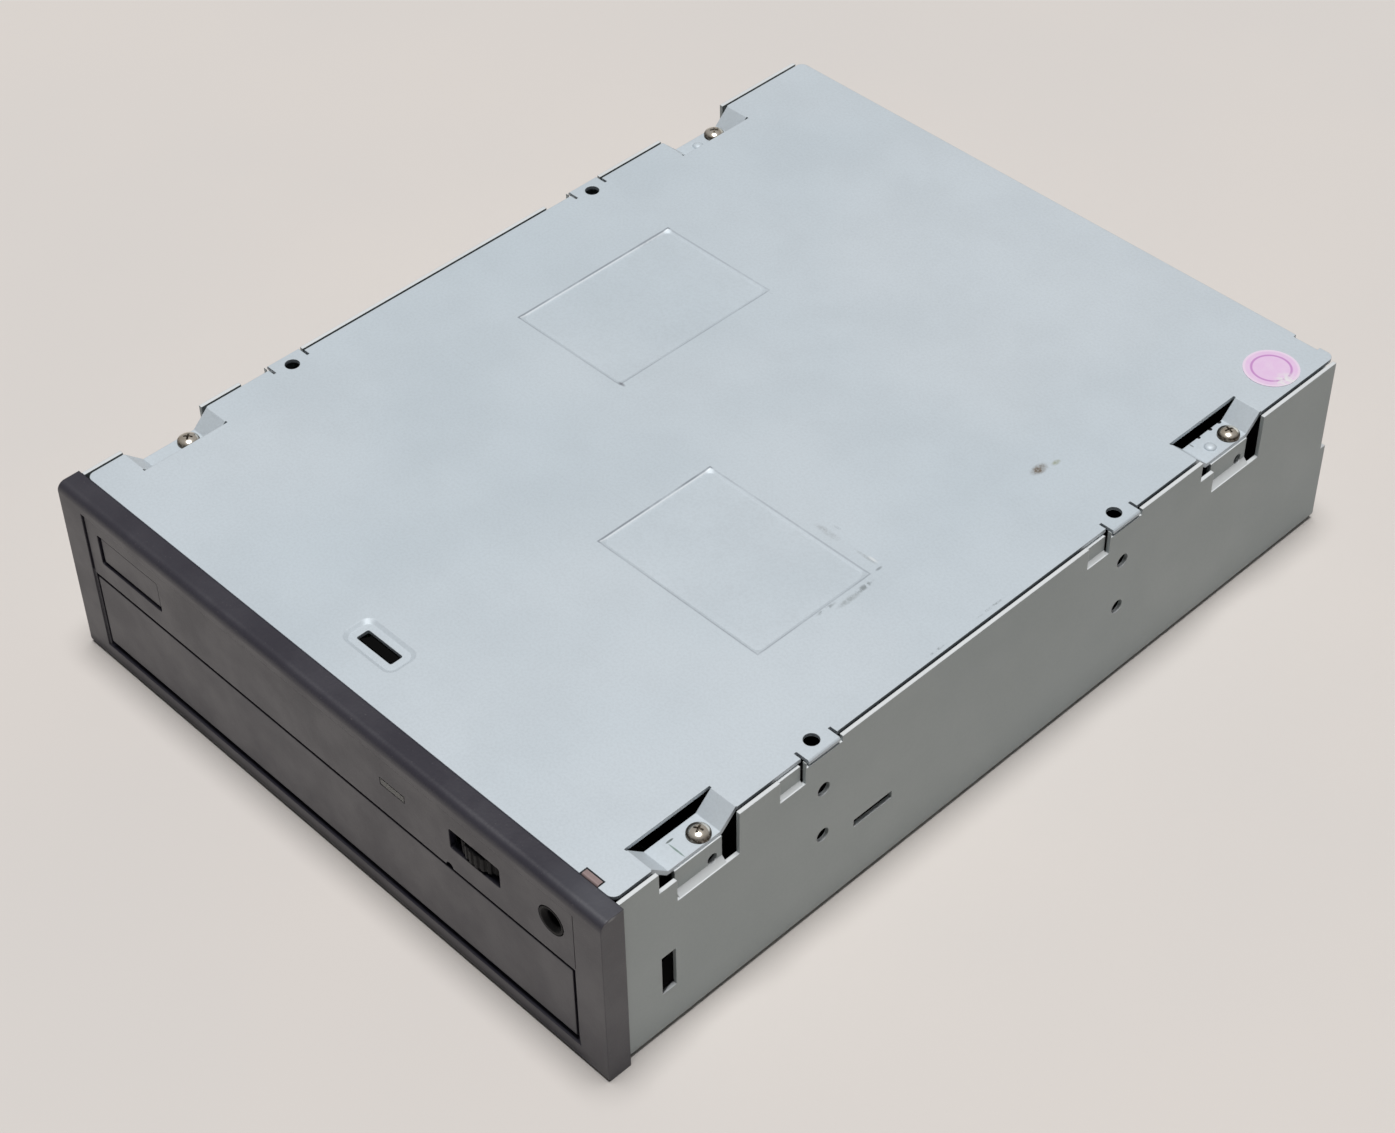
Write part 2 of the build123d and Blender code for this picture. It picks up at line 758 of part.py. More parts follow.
# Eject button with its two guide arms
button_front = front_y + panel_step + button_recess
with BuildPart() as eject_button:
    with BuildSketch(Plane.XZ.offset(-button_front)):
        with Locations(button_centre):
            RectangleRounded(button_width, button_height, button_clearance)
    extrude(amount=-button_depth)
    chamfer(eject_button.faces().sort_by(Axis.Y)[0].edges(), button_clearance / 2)
    with BuildSketch(Plane.XZ.offset(-(button_front + button_depth))):
        with Locations(button_centre):
            Rectangle(button_width - 2 * button_wall, button_height - 2 * button_wall)
    extrude(amount=button_depth - button_wall, mode=Mode.SUBTRACT)
    with BuildSketch(Plane.XZ.offset(-(button_front + button_wall))):
        with Locations(button_centre):
            Rectangle(2 * button_wall, 2 * button_wall)
    extrude(amount=-(button_depth - button_wall + button_travel))
finish(eject_button, "eject_button")
plunger_start = button_front + button_depth + 1.0 + 0.02
with BuildPart() as switch_plunger:
    with BuildSketch(Plane.XZ.offset(-plunger_start)):
        with Locations(button_centre):
            Circle(1.5)
    extrude(amount=-plunger_length)
finish(switch_plunger, "switch_plunger")
switch_start = plunger_start + plunger_length - 1.0
with BuildPart() as eject_switch:
    with BuildSketch(Plane.XZ.offset(-switch_start)):
        with Locations((button_centre[0], (button_centre[1] - 3.0 + board_floor) / 2)):
            Rectangle(6.2, board_floor - button_centre[1] + 3.0)
        with Locations(button_centre):
            Circle(1.6, mode=Mode.SUBTRACT)
    extrude(amount=-1.3)
    with BuildSketch(Plane.XZ.offset(-(switch_start + 1.3))):
        with Locations((button_centre[0], (button_centre[1] - 3.0 + board_floor) / 2)):
            Rectangle(6.2, board_floor - button_centre[1] + 3.0)
    extrude(amount=-2.6)
    with BuildSketch(Plane.XZ.offset(-(switch_start + 1.3))):
        with Locations(button_centre):
            Circle(1.6)
    extrude(amount=-(button_travel + 0.3), mode=Mode.SUBTRACT)
finish(eject_switch, "eject_switch")

# Headphone jack
with BuildPart() as headphone_jack:
    with BuildSketch(Plane.XZ.offset(-inside(jack_body_start + jack_length))):
        with Locations((jack_centre[0], (jack_centre[1] - 3.7 + board_floor) / 2)):
            Rectangle(9.0, board_floor - jack_centre[1] + 3.7)
    extrude(amount=jack_length)
    with BuildSketch(Plane.XZ.offset(-inside(jack_body_start))):
        with Locations(jack_centre):
            Circle(jack_nose_radius)
    extrude(amount=bezel_depth + jack_body_start - panel_step)
    with BuildSketch(Plane.XZ.offset(-front_y)):
        with Locations(jack_centre):
            Circle(jack_bore_radius)
    extrude(amount=-(bezel_depth + jack_length - 1.5), mode=Mode.SUBTRACT)
    with BuildSketch(Plane.XZ.offset(-(front_y + panel_step))):
        with Locations(jack_centre):
            Circle(jack_mouth_radius)
    with BuildSketch(Plane.XZ.offset(-(front_y + panel_step + jack_mouth_depth))):
        with Locations(jack_centre):
            Circle(jack_bore_radius)
    loft(mode=Mode.SUBTRACT)
finish(headphone_jack, "headphone_jack")

# Volume thumbwheel on its potentiometer
wheel_y = front_y + panel_step - wheel_proud + wheel_radius
wheel_floor = wheel_centre[1] - wheel_thickness / 2
with BuildPart() as volume_wheel:
    with BuildSketch(Plane.XY.offset(wheel_floor)):
        with Locations((wheel_centre[0], wheel_y)):
            Circle(wheel_radius)
            with PolarLocations(wheel_radius + 0.15, wheel_knurls):
                Circle(0.4, mode=Mode.SUBTRACT)
    extrude(amount=wheel_thickness)
    with BuildSketch(Plane.XY.offset(wheel_floor)):
        with Locations((wheel_centre[0], wheel_y)):
            Circle(pot_shaft_radius + running_gap)
    extrude(amount=wheel_thickness, mode=Mode.SUBTRACT)
finish(volume_wheel, "volume_wheel")
with BuildPart() as volume_pot:
    with BuildSketch(Plane.XY.offset(wheel_floor + wheel_thickness + 0.3)):
        with Locations((wheel_centre[0], wheel_y)):
            Rectangle(9.0, 9.0)
    extrude(amount=board_floor - wheel_floor - wheel_thickness - 0.3)
    with BuildSketch(Plane.XY.offset(wheel_floor - 0.3)):
        with Locations((wheel_centre[0], wheel_y)):
            Circle(pot_shaft_radius)
    extrude(amount=wheel_thickness + 0.8)
    with BuildSketch(Plane.XY.offset(wheel_floor - 0.9)):
        with Locations((wheel_centre[0], wheel_y)):
            Circle(pot_shaft_radius + 0.8)
    extrude(amount=0.6)
finish(volume_pot, "volume_pot")

# Busy lamp: a light pipe through the bezel and the lamp behind it
lamp_y = inside(3.0)
with BuildPart() as light_pipe:
    with BuildSketch(Plane.XZ.offset(-(front_y + panel_step))):
        with Locations(lamp_centre):
            Rectangle(*lamp_size)
    extrude(amount=-(lamp_y - front_y - panel_step))
    with BuildSketch(Plane.XZ.offset(-lamp_y)):
        with Locations((lamp_centre[0], (lamp_centre[1] - lamp_size[1] / 2 + board_floor) / 2)):
            Rectangle(lamp_size[0], board_floor - lamp_centre[1] + lamp_size[1] / 2)
    extrude(amount=-1.5)
finish(light_pipe, "light_pipe")
with BuildPart() as busy_lamp:
    with BuildSketch(Plane.XZ.offset(-(lamp_y + 1.8))):
        with Locations((lamp_centre[0], (lamp_centre[1] - 2.0 + board_floor) / 2)):
            Rectangle(4.0, board_floor - lamp_centre[1] + 2.0)
    extrude(amount=-3.0)
finish(busy_lamp, "busy_lamp")

# Front board
with BuildPart() as front_board:
    with BuildSketch(Plane.XY.offset(board_floor)):
        with Locations((0, inside(front_board_start + front_board_depth / 2))):
            Rectangle(front_board_width, front_board_depth)
            with GridLocations(2 * front_post_across, 0, 2, 1):
                with Locations((0, front_board_depth / 2 - front_post_margin)):
                    Circle(pilot_radius, mode=Mode.SUBTRACT)
        with Locations((0, inside(front_notch_start + front_board_depth / 2))):
            with GridLocations(2 * board_notch_across, 0, 2, 1):
                Rectangle(board_notch_width, front_board_depth, mode=Mode.SUBTRACT)
    extrude(amount=board_thickness)
finish(front_board, "front_board")

# Loader frame: the moulding that carries the tray, the loading drive and the lift frame
frame_mid = inside(frame_start + frame_length / 2)
frame_rear = inside(frame_start + frame_length)
pinion_radius = pinion_teeth * rack_module / 2
wheel_pitch_radius = wheel_teeth * gear_module / 2
small_pinion_radius = pulley_pinion_teeth * gear_module / 2
drive_x = rack_pitch_line + pinion_radius + gear_centre_gap
drive_y = inside(drive_gear_row)
cam_arm_start = drive_x - cam_arm_back
cam_arm_end = cam_arm_start + cam_arm_length
gear_distance = wheel_pitch_radius + small_pinion_radius + gear_centre_gap
pulley_y = inside(pulley_gear_row)
pulley_x = drive_x + (gear_distance**2 - (drive_y - pulley_y) ** 2) ** 0.5
motor_y = inside(motor_row)
hinge_y = inside(hinge_row)
spindle_y = inside(spindle_row)
opening_half = lift_half_width + trunnion_length / 2 - 0.7
lug_inner = lift_half_width + 0.5
lug_width = trunnion_length - 0.5
lug_inner_face = half_case - corner_lug_inset - sheet
rail_inner = frame_half_width - frame_wall - rail_width
with BuildPart() as loader_frame:
    with BuildSketch(Plane.XY.offset(deck_floor)):
        with Locations((0, frame_mid)):
            Rectangle(2 * frame_half_width, frame_length)
        with Locations((0, (inside(cam_row) - 0.6 + inside(lift_rear) + 1.5) / 2)):
            opening_length = lift_rear - cam_row + 2.1
            Rectangle(2 * opening_half, opening_length, mode=Mode.SUBTRACT)
        with Locations(((cam_arm_start + cam_wall_end + cam_travel) / 2, inside(cam_row) + cam_wall / 2)):
            cam_window = cam_wall_end - cam_arm_start + cam_travel + 2.0
            Rectangle(cam_window, cam_wall + 1.2, mode=Mode.SUBTRACT)
        with Locations((motor_across, motor_y)):
            Circle(motor_groove_radius + pulley_rim + 0.5, mode=Mode.SUBTRACT)
    extrude(amount=deck_thickness)
    with BuildSketch(Plane.XY.offset(frame_floor)):
        with Locations((0, frame_mid)):
            with GridLocations(2 * frame_half_width - frame_wall, 0, 2, 1):
                Rectangle(frame_wall, frame_length)
    extrude(amount=frame_wall_top - frame_floor)
    with BuildSketch(Plane.XY.offset(frame_floor)):
        with Locations((0, frame_rear - frame_wall / 2)):
            Rectangle(2 * frame_half_width, frame_wall)
    extrude(amount=deck_floor - frame_floor)
    with BuildSketch(Plane.XY.offset(rail_floor)):
        with Locations((0, frame_mid)):
            with GridLocations(2 * (frame_half_width - frame_wall) - rail_width, 0, 2, 1):
                Rectangle(rail_width, frame_length)
    extrude(amount=deck_floor - rail_floor)
    hold_down_floor = tray_floor - tray_running_gap - hold_down_thickness
    with BuildSketch(Plane.XY.offset(hold_down_floor)):
        for row in hold_down_rows:
            with Locations((0, inside(row))):
                with GridLocations(2 * (frame_half_width - frame_wall) - hold_down_reach, 0, 2, 1):
                    Rectangle(hold_down_reach, hold_down_width)
    extrude(amount=hold_down_thickness)
    with BuildSketch(Plane.XY.offset(deck_top)):
        with Locations((0, inside(front_screw_row)), (0, inside(rear_screw_row))):
            with GridLocations(2 * screw_across, 0, 2, 1):
                Circle(boss_radius)
            with GridLocations(2 * (lug_inner_face + boss_radius - boss_lug_gap), 0, 2, 1):
                Rectangle(2 * boss_radius, 2 * boss_radius, mode=Mode.SUBTRACT)
    extrude(amount=tab_z - 2 * sheet - deck_top)
    with BuildSketch(Plane.XY.offset(frame_floor)):
        with Locations((0, spindle_y)):
            with GridLocations(2 * bridge_screw_across, 2 * bridge_screw_offset, 2, 2):
                Circle(bridge_boss_radius)
    extrude(amount=bridge_boss_height)
    with BuildSketch(Plane.XY.offset(deck_top)):
        with Locations((0, inside(front_board_start + front_board_depth - front_post_margin))):
            with GridLocations(2 * front_post_across, 0, 2, 1):
                Circle(post_radius)
        with Locations((0, main_post_y)):
            with GridLocations(2 * main_post_across, main_post_pitch, 2, 2):
                Circle(post_radius)
    extrude(amount=board_floor - deck_top)
    with BuildSketch(Plane.XY.offset(gear_floor - 0.4)):
        with Locations((drive_x, drive_y), (pulley_x, pulley_y)):
            Circle(gear_axle_radius)
    extrude(amount=deck_floor - gear_floor + 0.4)
    for hook_x in cam_guide_across:
        with BuildSketch(Plane.YZ.offset(hook_x - cam_guide_width / 2)):
            with BuildLine():
                guide_y = inside(cam_row - cam_foot_reach)
                Polyline(
                    (guide_y - 2.3, deck_top),
                    (guide_y - 0.3, deck_top),
                    (guide_y - 0.3, deck_top + cam_foot_thickness + 0.6),
                    (guide_y + 2.0, deck_top + cam_foot_thickness + 0.6),
                    (guide_y + 2.0, deck_top + cam_foot_thickness + 2.2),
                    (guide_y - 2.3, deck_top + cam_foot_thickness + 2.2),
                    close=True,
                )
            make_face()
        extrude(amount=cam_guide_width)
    for side in (-1, 1):
        with BuildSketch(Plane.YZ.offset(side * lug_inner)):
            with Locations((hinge_y, hinge_height)):
                RectangleRounded(3 * trunnion_radius + 2, 3 * trunnion_radius, 1.5)
                Circle(trunnion_radius + running_gap, mode=Mode.SUBTRACT)
        extrude(amount=side * lug_width)
        with BuildSketch(Plane.YZ.offset(side * lug_inner)):
            with Locations((hinge_y, hinge_height)):
                Circle(trunnion_radius + running_gap)
        extrude(amount=side * lug_width, mode=Mode.SUBTRACT)
    with BuildSketch(Plane.XY.offset(tab_z)):
        with Locations((0, inside(front_screw_row)), (0, inside(rear_screw_row))):
            with GridLocations(2 * screw_across, 0, 2, 1):
                Circle(cover_pilot_radius)
    extrude(amount=-(screw_length + 1.0), mode=Mode.SUBTRACT)
    with BuildSketch(Plane.XY.offset(frame_floor)):
        with Locations((0, spindle_y)):
            with GridLocations(2 * bridge_screw_across, 2 * bridge_screw_offset, 2, 2):
                Circle(pilot_radius)
    extrude(amount=bridge_boss_height - 1.0, mode=Mode.SUBTRACT)
    with BuildSketch(Plane.XY.offset(board_floor)):
        with Locations((0, inside(front_board_start + front_board_depth - front_post_margin))):
            with GridLocations(2 * front_post_across, 0, 2, 1):
                Circle(pilot_radius)
        with Locations((0, main_post_y)):
            with GridLocations(2 * main_post_across, main_post_pitch, 2, 2):
                Circle(pilot_radius)
    extrude(amount=-8.0, mode=Mode.SUBTRACT)
finish(loader_frame, "loader_frame")

# Tray with its two disc recesses, the slot for hub and pickup, and the rack
tray_mid = inside(tray_start + tray_length / 2)
recess_floor = tray_floor + recess_depth
with BuildPart() as tray:
    with BuildSketch(Plane.XY.offset(tray_floor)):
        with Locations((0, tray_mid)):
            RectangleRounded(2 * tray_half_width, tray_length, 1.5)
    extrude(amount=tray_skin)
    with BuildSketch(Plane.XY.offset(tray_floor)):
        with Locations((0, spindle_y)):
            Circle(recess_radius + recess_wall)
    extrude(amount=recess_depth + recess_wall)
    with BuildSketch(Plane.XY.offset(recess_floor)):
        with Locations((0, spindle_y)):
            Circle(small_recess_radius + recess_wall)
    extrude(amount=small_recess_depth + recess_wall)
    with BuildSketch(Plane.XY.offset(tray_floor + tray_skin)):
        with Locations((0, tray_mid)):
            with GridLocations(2 * (rail_inner + tray_skirt + 1.0) - tray_skirt, 0, 2, 1):
                Rectangle(tray_skirt, tray_length - 3.0)
    extrude(amount=tray_skirt_height - tray_skin)
    with BuildSketch(Plane.XY.offset(tray_floor + tray_skin)):
        with Locations((0, inside(tray_start + tray_skirt / 2))):
            Rectangle(2 * rail_inner - 1.0, tray_skirt)
    extrude(amount=tray_skirt_height - tray_skin)
    with BuildSketch(Plane.XY.offset(tray_floor + tray_skin)):
        with Locations((rack_pitch_line, 0)):
            rack_first = inside(rack_start)
            rack_last = inside(tray_start + tray_length - 1.5)
            add(rack_face(rack_first, rack_last, drive_y, rack_module, rack_thickness, 1))
    extrude(amount=rack_depth)
    with BuildSketch(Plane.XY.offset(tray_floor)):
        with Locations((0, spindle_y)):
            Circle(recess_radius)
    extrude(amount=recess_depth, mode=Mode.SUBTRACT)
    with BuildSketch(Plane.XY.offset(recess_floor)):
        with Locations((0, spindle_y)):
            Circle(small_recess_radius)
    extrude(amount=small_recess_depth, mode=Mode.SUBTRACT)
    with BuildSketch(Plane.XY.offset(tray_floor)):
        tray_end = inside(tray_start + tray_length)
        with Locations((0, (spindle_y + tray_end) / 2 + 1.0)):
            Rectangle(2 * slot_half_width, tray_end - spindle_y + 2.0)
        with Locations((0, spindle_y)):
            Circle(slot_half_width)
    extrude(amount=3 * recess_depth, mode=Mode.SUBTRACT)
    with BuildSketch(Plane.XZ.offset(-inside(tray_start))):
        with Locations((0, tray_floor + tray_skirt_height / 2 + 1.0)):
            with GridLocations(2 * door_clip_across, 0, 2, 1):
                Rectangle(door_clip_width + 0.6, door_clip_height + 0.6)
    extrude(amount=-tray_skirt, mode=Mode.SUBTRACT)
finish(tray, "tray")

# Tray door, clipped to the tray's front wall
door_front = front_y + panel_step
door_height = door_opening_height - 2 * door_gap
with BuildPart() as tray_door:
    with BuildSketch(Plane.XZ.offset(-door_front)):
        with Locations((0, door_centre_z)):
            Rectangle(door_opening_width - 2 * door_gap, door_height)
    extrude(amount=-door_depth)
    fillet(tray_door.faces().sort_by(Axis.Y)[0].edges().group_by(Axis.Z)[0], door_lip_radius)
    with BuildSketch(Plane.XZ.offset(-(door_front + door_depth))):
        with Locations((0, door_centre_z)):
            Rectangle(door_opening_width - 2 * door_gap - 2 * door_rim, door_height - 2 * door_rim)
            with GridLocations(door_rib_pitch, 0, 5, 1):
                Rectangle(door_rim, door_height, mode=Mode.SUBTRACT)
    extrude(amount=door_depth - door_wall, mode=Mode.SUBTRACT)
    with BuildSketch(Plane.XZ.offset(-(door_front + door_wall))):
        with Locations((0, tray_floor + tray_skirt_height / 2 + 1.0)):
            with GridLocations(2 * door_clip_across, 0, 2, 1):
                Rectangle(door_clip_width, door_clip_height)
    extrude(amount=-(inside(tray_start + tray_skirt) - door_front - door_wall + 0.4))
finish(tray_door, "tray_door")

# Loading drive
belt_floor = gear_floor + (pulley_height - belt_thickness) / 2
mesh_angle = degrees(atan2(pulley_y - drive_y, pulley_x - drive_x))
wheel_floor_z = gear_floor + pinion_height
with BuildPart() as drive_gear:
    with BuildSketch(Plane.XY.offset(gear_floor)):
        with Locations((drive_x, drive_y)):
            add(gear_face(pinion_teeth, rack_module, 180.0))
    extrude(amount=pinion_height)
    with BuildSketch(Plane.XY.offset(wheel_floor_z)):
        with Locations((drive_x, drive_y)):
            add(gear_face(wheel_teeth, gear_module, mesh_angle))
            with PolarLocations(0.62 * wheel_pitch_radius, 5):
                Circle(0.17 * wheel_pitch_radius, mode=Mode.SUBTRACT)
    extrude(amount=gear_height)
    with Locations((drive_x, drive_y, gear_floor)):
        Cylinder(gear_axle_radius + running_gap, pinion_height + gear_height, align=BASE, mode=Mode.SUBTRACT)
finish(drive_gear, "drive_gear")
with BuildPart() as pulley_gear:
    with BuildSketch(Plane.XZ.offset(-pulley_y)):
        with BuildLine():
            groove_x = pulley_x + pulley_groove_radius
            Polyline(
                (pulley_x, gear_floor),
                (groove_x + pulley_rim, gear_floor),
                (groove_x + pulley_rim, belt_floor - belt_side_gap),
                (groove_x, belt_floor - belt_side_gap),
                (groove_x, belt_floor + belt_thickness + belt_side_gap),
                (groove_x + pulley_rim, belt_floor + belt_thickness + belt_side_gap),
                (groove_x + pulley_rim, gear_floor + pulley_height),
                (pulley_x, gear_floor + pulley_height),
                close=True,
            )
        make_face()
    revolve(axis=Axis((pulley_x, pulley_y, 0), (0, 0, 1)))
    with BuildSketch(Plane.XY.offset(gear_floor + pulley_height)):
        with Locations((pulley_x, pulley_y)):
            add(gear_face(pulley_pinion_teeth, gear_module, mesh_angle + 180.0 + 180.0 / pulley_pinion_teeth))
    extrude(amount=pinion_height + gear_height - pulley_height)
    with Locations((pulley_x, pulley_y, gear_floor)):
        Cylinder(gear_axle_radius + running_gap, pinion_height + gear_height, align=BASE, mode=Mode.SUBTRACT)
finish(pulley_gear, "pulley_gear")
with BuildPart() as belt:
    with BuildSketch(Plane.XY.offset(belt_floor)) as belt_outline:
        with BuildSketch(mode=Mode.PRIVATE) as belt_outer:
            with Locations((pulley_x, pulley_y)):
                Circle(pulley_groove_radius + belt_gap + belt_thickness)
            with Locations((motor_across, motor_y)):
                Circle(motor_groove_radius + belt_gap + belt_thickness)
            make_hull()
        with BuildSketch(mode=Mode.PRIVATE) as belt_inner:
            with Locations((pulley_x, pulley_y)):
                Circle(pulley_groove_radius + belt_gap)
            with Locations((motor_across, motor_y)):
                Circle(motor_groove_radius + belt_gap)
            make_hull()
        add(belt_outer.sketch)
        add(belt_inner.sketch, mode=Mode.SUBTRACT)
    extrude(amount=belt_thickness)
finish(belt, "belt")
with BuildPart() as motor_pulley:
    with BuildSketch(Plane.XY.offset(gear_floor)):
        with Locations((motor_across, motor_y)):
            Circle(motor_groove_radius + pulley_rim)
    extrude(amount=pulley_height)
    with BuildSketch(Plane.XY.offset(belt_floor - belt_side_gap)):
        with Locations((motor_across, motor_y)):
            Circle(motor_groove_radius + 2 * pulley_rim)
            Circle(motor_groove_radius, mode=Mode.SUBTRACT)
    extrude(amount=belt_thickness + 2 * belt_side_gap, mode=Mode.SUBTRACT)
    with BuildSketch(Plane.XY.offset(gear_floor - 0.4)):
        with Locations((motor_across, motor_y)):
            Circle(motor_shaft_radius)
    extrude(amount=deck_top - gear_floor + 0.4 + 3.0)
finish(motor_pulley, "motor_pulley")
with BuildPart() as loading_motor:
    with BuildSketch(Plane.XY.offset(deck_top)):
        with Locations((motor_across, motor_y)):
            Circle(motor_radius)
    extrude(amount=motor_height)
    chamfer(loading_motor.edges().group_by(Axis.Z)[-1], 1.0)
    with Locations((motor_across, motor_y, deck_top)):
        Cylinder(motor_shaft_radius + running_gap, motor_height - 2.0, align=BASE, mode=Mode.SUBTRACT)
    with Locations((motor_across, motor_y, deck_top + motor_height)):
        Cylinder(3.0, 0.8, align=BASE)
finish(loading_motor, "loading_motor")

# Cam slider: a bar with two sloping slots, a guided foot and a short rack beside the drive gear
pin_drop = (hinge_row - cam_row - cam_wall / 2) * sin(radians(lift_angle))
cam_y = inside(cam_row)
arm_front = drive_y + pinion_radius + 0.85 * rack_module + 0.3
with BuildPart() as cam_slider:
    with BuildSketch(Plane.XZ.offset(-(cam_y + cam_wall))):
        with Locations(((cam_arm_start + cam_wall_end) / 2, cam_floor)):
            Rectangle(cam_wall_end - cam_arm_start, cam_top - cam_floor, align=LOW)
        for pin_x in (-cam_pin_across, cam_pin_across):
            slot_middle = (pin_x - cam_travel / 2, hinge_height + pin_drop / 2)
            slot_end = (pin_x, hinge_height)
            SlotCenterPoint(slot_middle, slot_end, 2 * (cam_pin_radius + cam_slot_gap), mode=Mode.SUBTRACT)
    extrude(amount=cam_wall)
    with BuildSketch(Plane.XY.offset(deck_top + 0.3)):
        with Locations((cam_foot_middle, cam_y - cam_foot_reach / 2)):
            Rectangle(cam_foot_length, cam_foot_reach)
    extrude(amount=cam_foot_thickness)
    with BuildSketch(Plane.XY.offset(gear_floor)):
        with Locations(((cam_arm_start + cam_arm_end) / 2, (arm_front + 1.8 + cam_y + cam_wall) / 2)):
            Rectangle(cam_arm_end - cam_arm_start, cam_y + cam_wall - arm_front - 1.8)
        with Locations((cam_arm_start, arm_front + 0.85 * rack_module)):
            add(rack_face(0, cam_arm_end - cam_arm_start, 1.6, rack_module, 2.2, 1), rotation=-90)
    extrude(amount=cam_floor - gear_floor - 0.6)
    with BuildSketch(Plane.XY.offset(cam_floor - 0.6)):
        with Locations(((cam_arm_start + cam_arm_end) / 2, cam_y + cam_wall / 2)):
            Rectangle(cam_arm_end - cam_arm_start, cam_wall)
    extrude(amount=0.6)
finish(cam_slider, "cam_slider")

# Lift frame, hinged at the rear and carried by the cam at the front
lift_mid = (inside(lift_front) + inside(lift_rear)) / 2
lift_length = lift_rear - lift_front
with BuildPart() as lift_frame:
    with BuildSketch(Plane.XY.offset(lift_floor)):
        with Locations((0, lift_mid)):
            RectangleRounded(2 * lift_half_width, lift_length, 2.0)
            Rectangle(2 * (lift_half_width - lift_bar), lift_length - 2 * lift_bar, mode=Mode.SUBTRACT)
    extrude(amount=lift_thickness)
    with BuildSketch(Plane.XZ.offset(-inside(lift_front))):
        with Locations((-cam_pin_across, hinge_height), (cam_pin_across, hinge_height)):
            Circle(cam_pin_radius)
    extrude(amount=inside(lift_front) - cam_y - 0.1)
    with BuildSketch(Plane.YZ.offset(-lift_half_width - trunnion_length)):
        with Locations((hinge_y, hinge_height)):
            Circle(trunnion_radius)
    extrude(amount=2 * (lift_half_width + trunnion_length))
    with Locations((0, lift_mid, lift_floor)):
        inner_size = (2 * (lift_half_width - lift_bar), lift_length - 2 * lift_bar)
        Box(*inner_size, lift_thickness, align=BASE, mode=Mode.SUBTRACT)
    with BuildSketch(Plane.XY.offset(lift_floor)):
        for row in damper_rows:
            with Locations((-damper_across, inside(row)), (damper_across, inside(row))):
                Circle(pilot_radius)
    extrude(amount=lift_thickness, mode=Mode.SUBTRACT)
finish(lift_frame, "lift_frame")

# Rubber dampers and the shouldered screws through them
damper_places = [(side * damper_across, inside(row)) for row in damper_rows for side in (-1, 1)]
damper_floor = traverse_floor - damper_flange
traverse_top = traverse_floor + traverse_thickness
with BuildPart() as dampers:
    with BuildSketch(Plane.XY.offset(damper_floor)):
        with Locations(*damper_places):
            Circle(damper_radius)
    extrude(amount=lift_floor - damper_floor)
    with BuildSketch(Plane.XY.offset(traverse_floor - 0.05)):
        with Locations(*damper_places):
            Circle(damper_radius + 1)
            Circle(damper_neck, mode=Mode.SUBTRACT)
    extrude(amount=traverse_thickness + 0.1, mode=Mode.SUBTRACT)
    with BuildSketch(Plane.XY.offset(damper_floor)):
        with Locations(*damper_places):
            Circle(damper_screw_radius + running_gap)
    extrude(amount=lift_floor - damper_floor, mode=Mode.SUBTRACT)
finish(dampers, "dampers")
with BuildPart() as damper_screws:
    with BuildSketch(Plane.XY.offset(damper_floor - damper_head_height)):
        with Locations(*damper_places):
            Circle(damper_head_radius)
    extrude(amount=damper_head_height)
    with BuildSketch(Plane.XY.offset(damper_floor)):
        with Locations(*damper_places):
            Circle(damper_screw_radius)
    extrude(amount=lift_floor + lift_thickness - 1.0 - damper_floor)
finish(damper_screws, "damper_screws")

# Traverse plate with lugs for the rods and the lead screw
opening_start = inside(sled_start) - 1.0
opening_end = inside(sled_start + sled_length + sled_travel) + 1.0
lug_rows = (opening_start - sheet, opening_end + sheet)
with BuildPart() as traverse_plate:
    with BuildSketch(Plane.XY.offset(traverse_floor)):
        with Locations((0, (inside(traverse_front) + inside(traverse_rear)) / 2)):
            RectangleRounded(2 * traverse_half_width, traverse_rear - traverse_front, 3.0)
        with Locations((0, (opening_start + opening_end) / 2)):
            Rectangle(2 * sled_half_width + 3.0, opening_end - opening_start, mode=Mode.SUBTRACT)
        with Locations((0, spindle_y)):
            Circle(hub_boss_radius + 0.8, mode=Mode.SUBTRACT)
        with Locations(*damper_places):
            Circle(damper_neck + 0.05, mode=Mode.SUBTRACT)
    extrude(amount=traverse_thickness)
    for lug_y in lug_rows:
        with BuildSketch(Plane.XZ.offset(-(lug_y + sheet / 2))):
            with Locations((0, traverse_top - 0.1)):
                with GridLocations(2 * rod_across, 0, 2, 1):
                    Rectangle(lug_size, rod_height - traverse_top + lug_size / 2, align=LOW)
            with Locations((0, rod_height)):
                with GridLocations(2 * rod_across, 0, 2, 1):
                    Circle(rod_radius + 0.02, mode=Mode.SUBTRACT)
        extrude(amount=sheet)
finish(traverse_plate, "traverse_plate")

# Guide rods
with BuildPart() as guide_rods:
    with BuildSketch(Plane.XZ.offset(-(lug_rows[1] + sheet))):
        with Locations((-rod_across, rod_height), (rod_across, rod_height)):
            Circle(rod_radius)
    extrude(amount=lug_rows[1] - lug_rows[0] + 2 * sheet)
finish(guide_rods, "guide_rods")

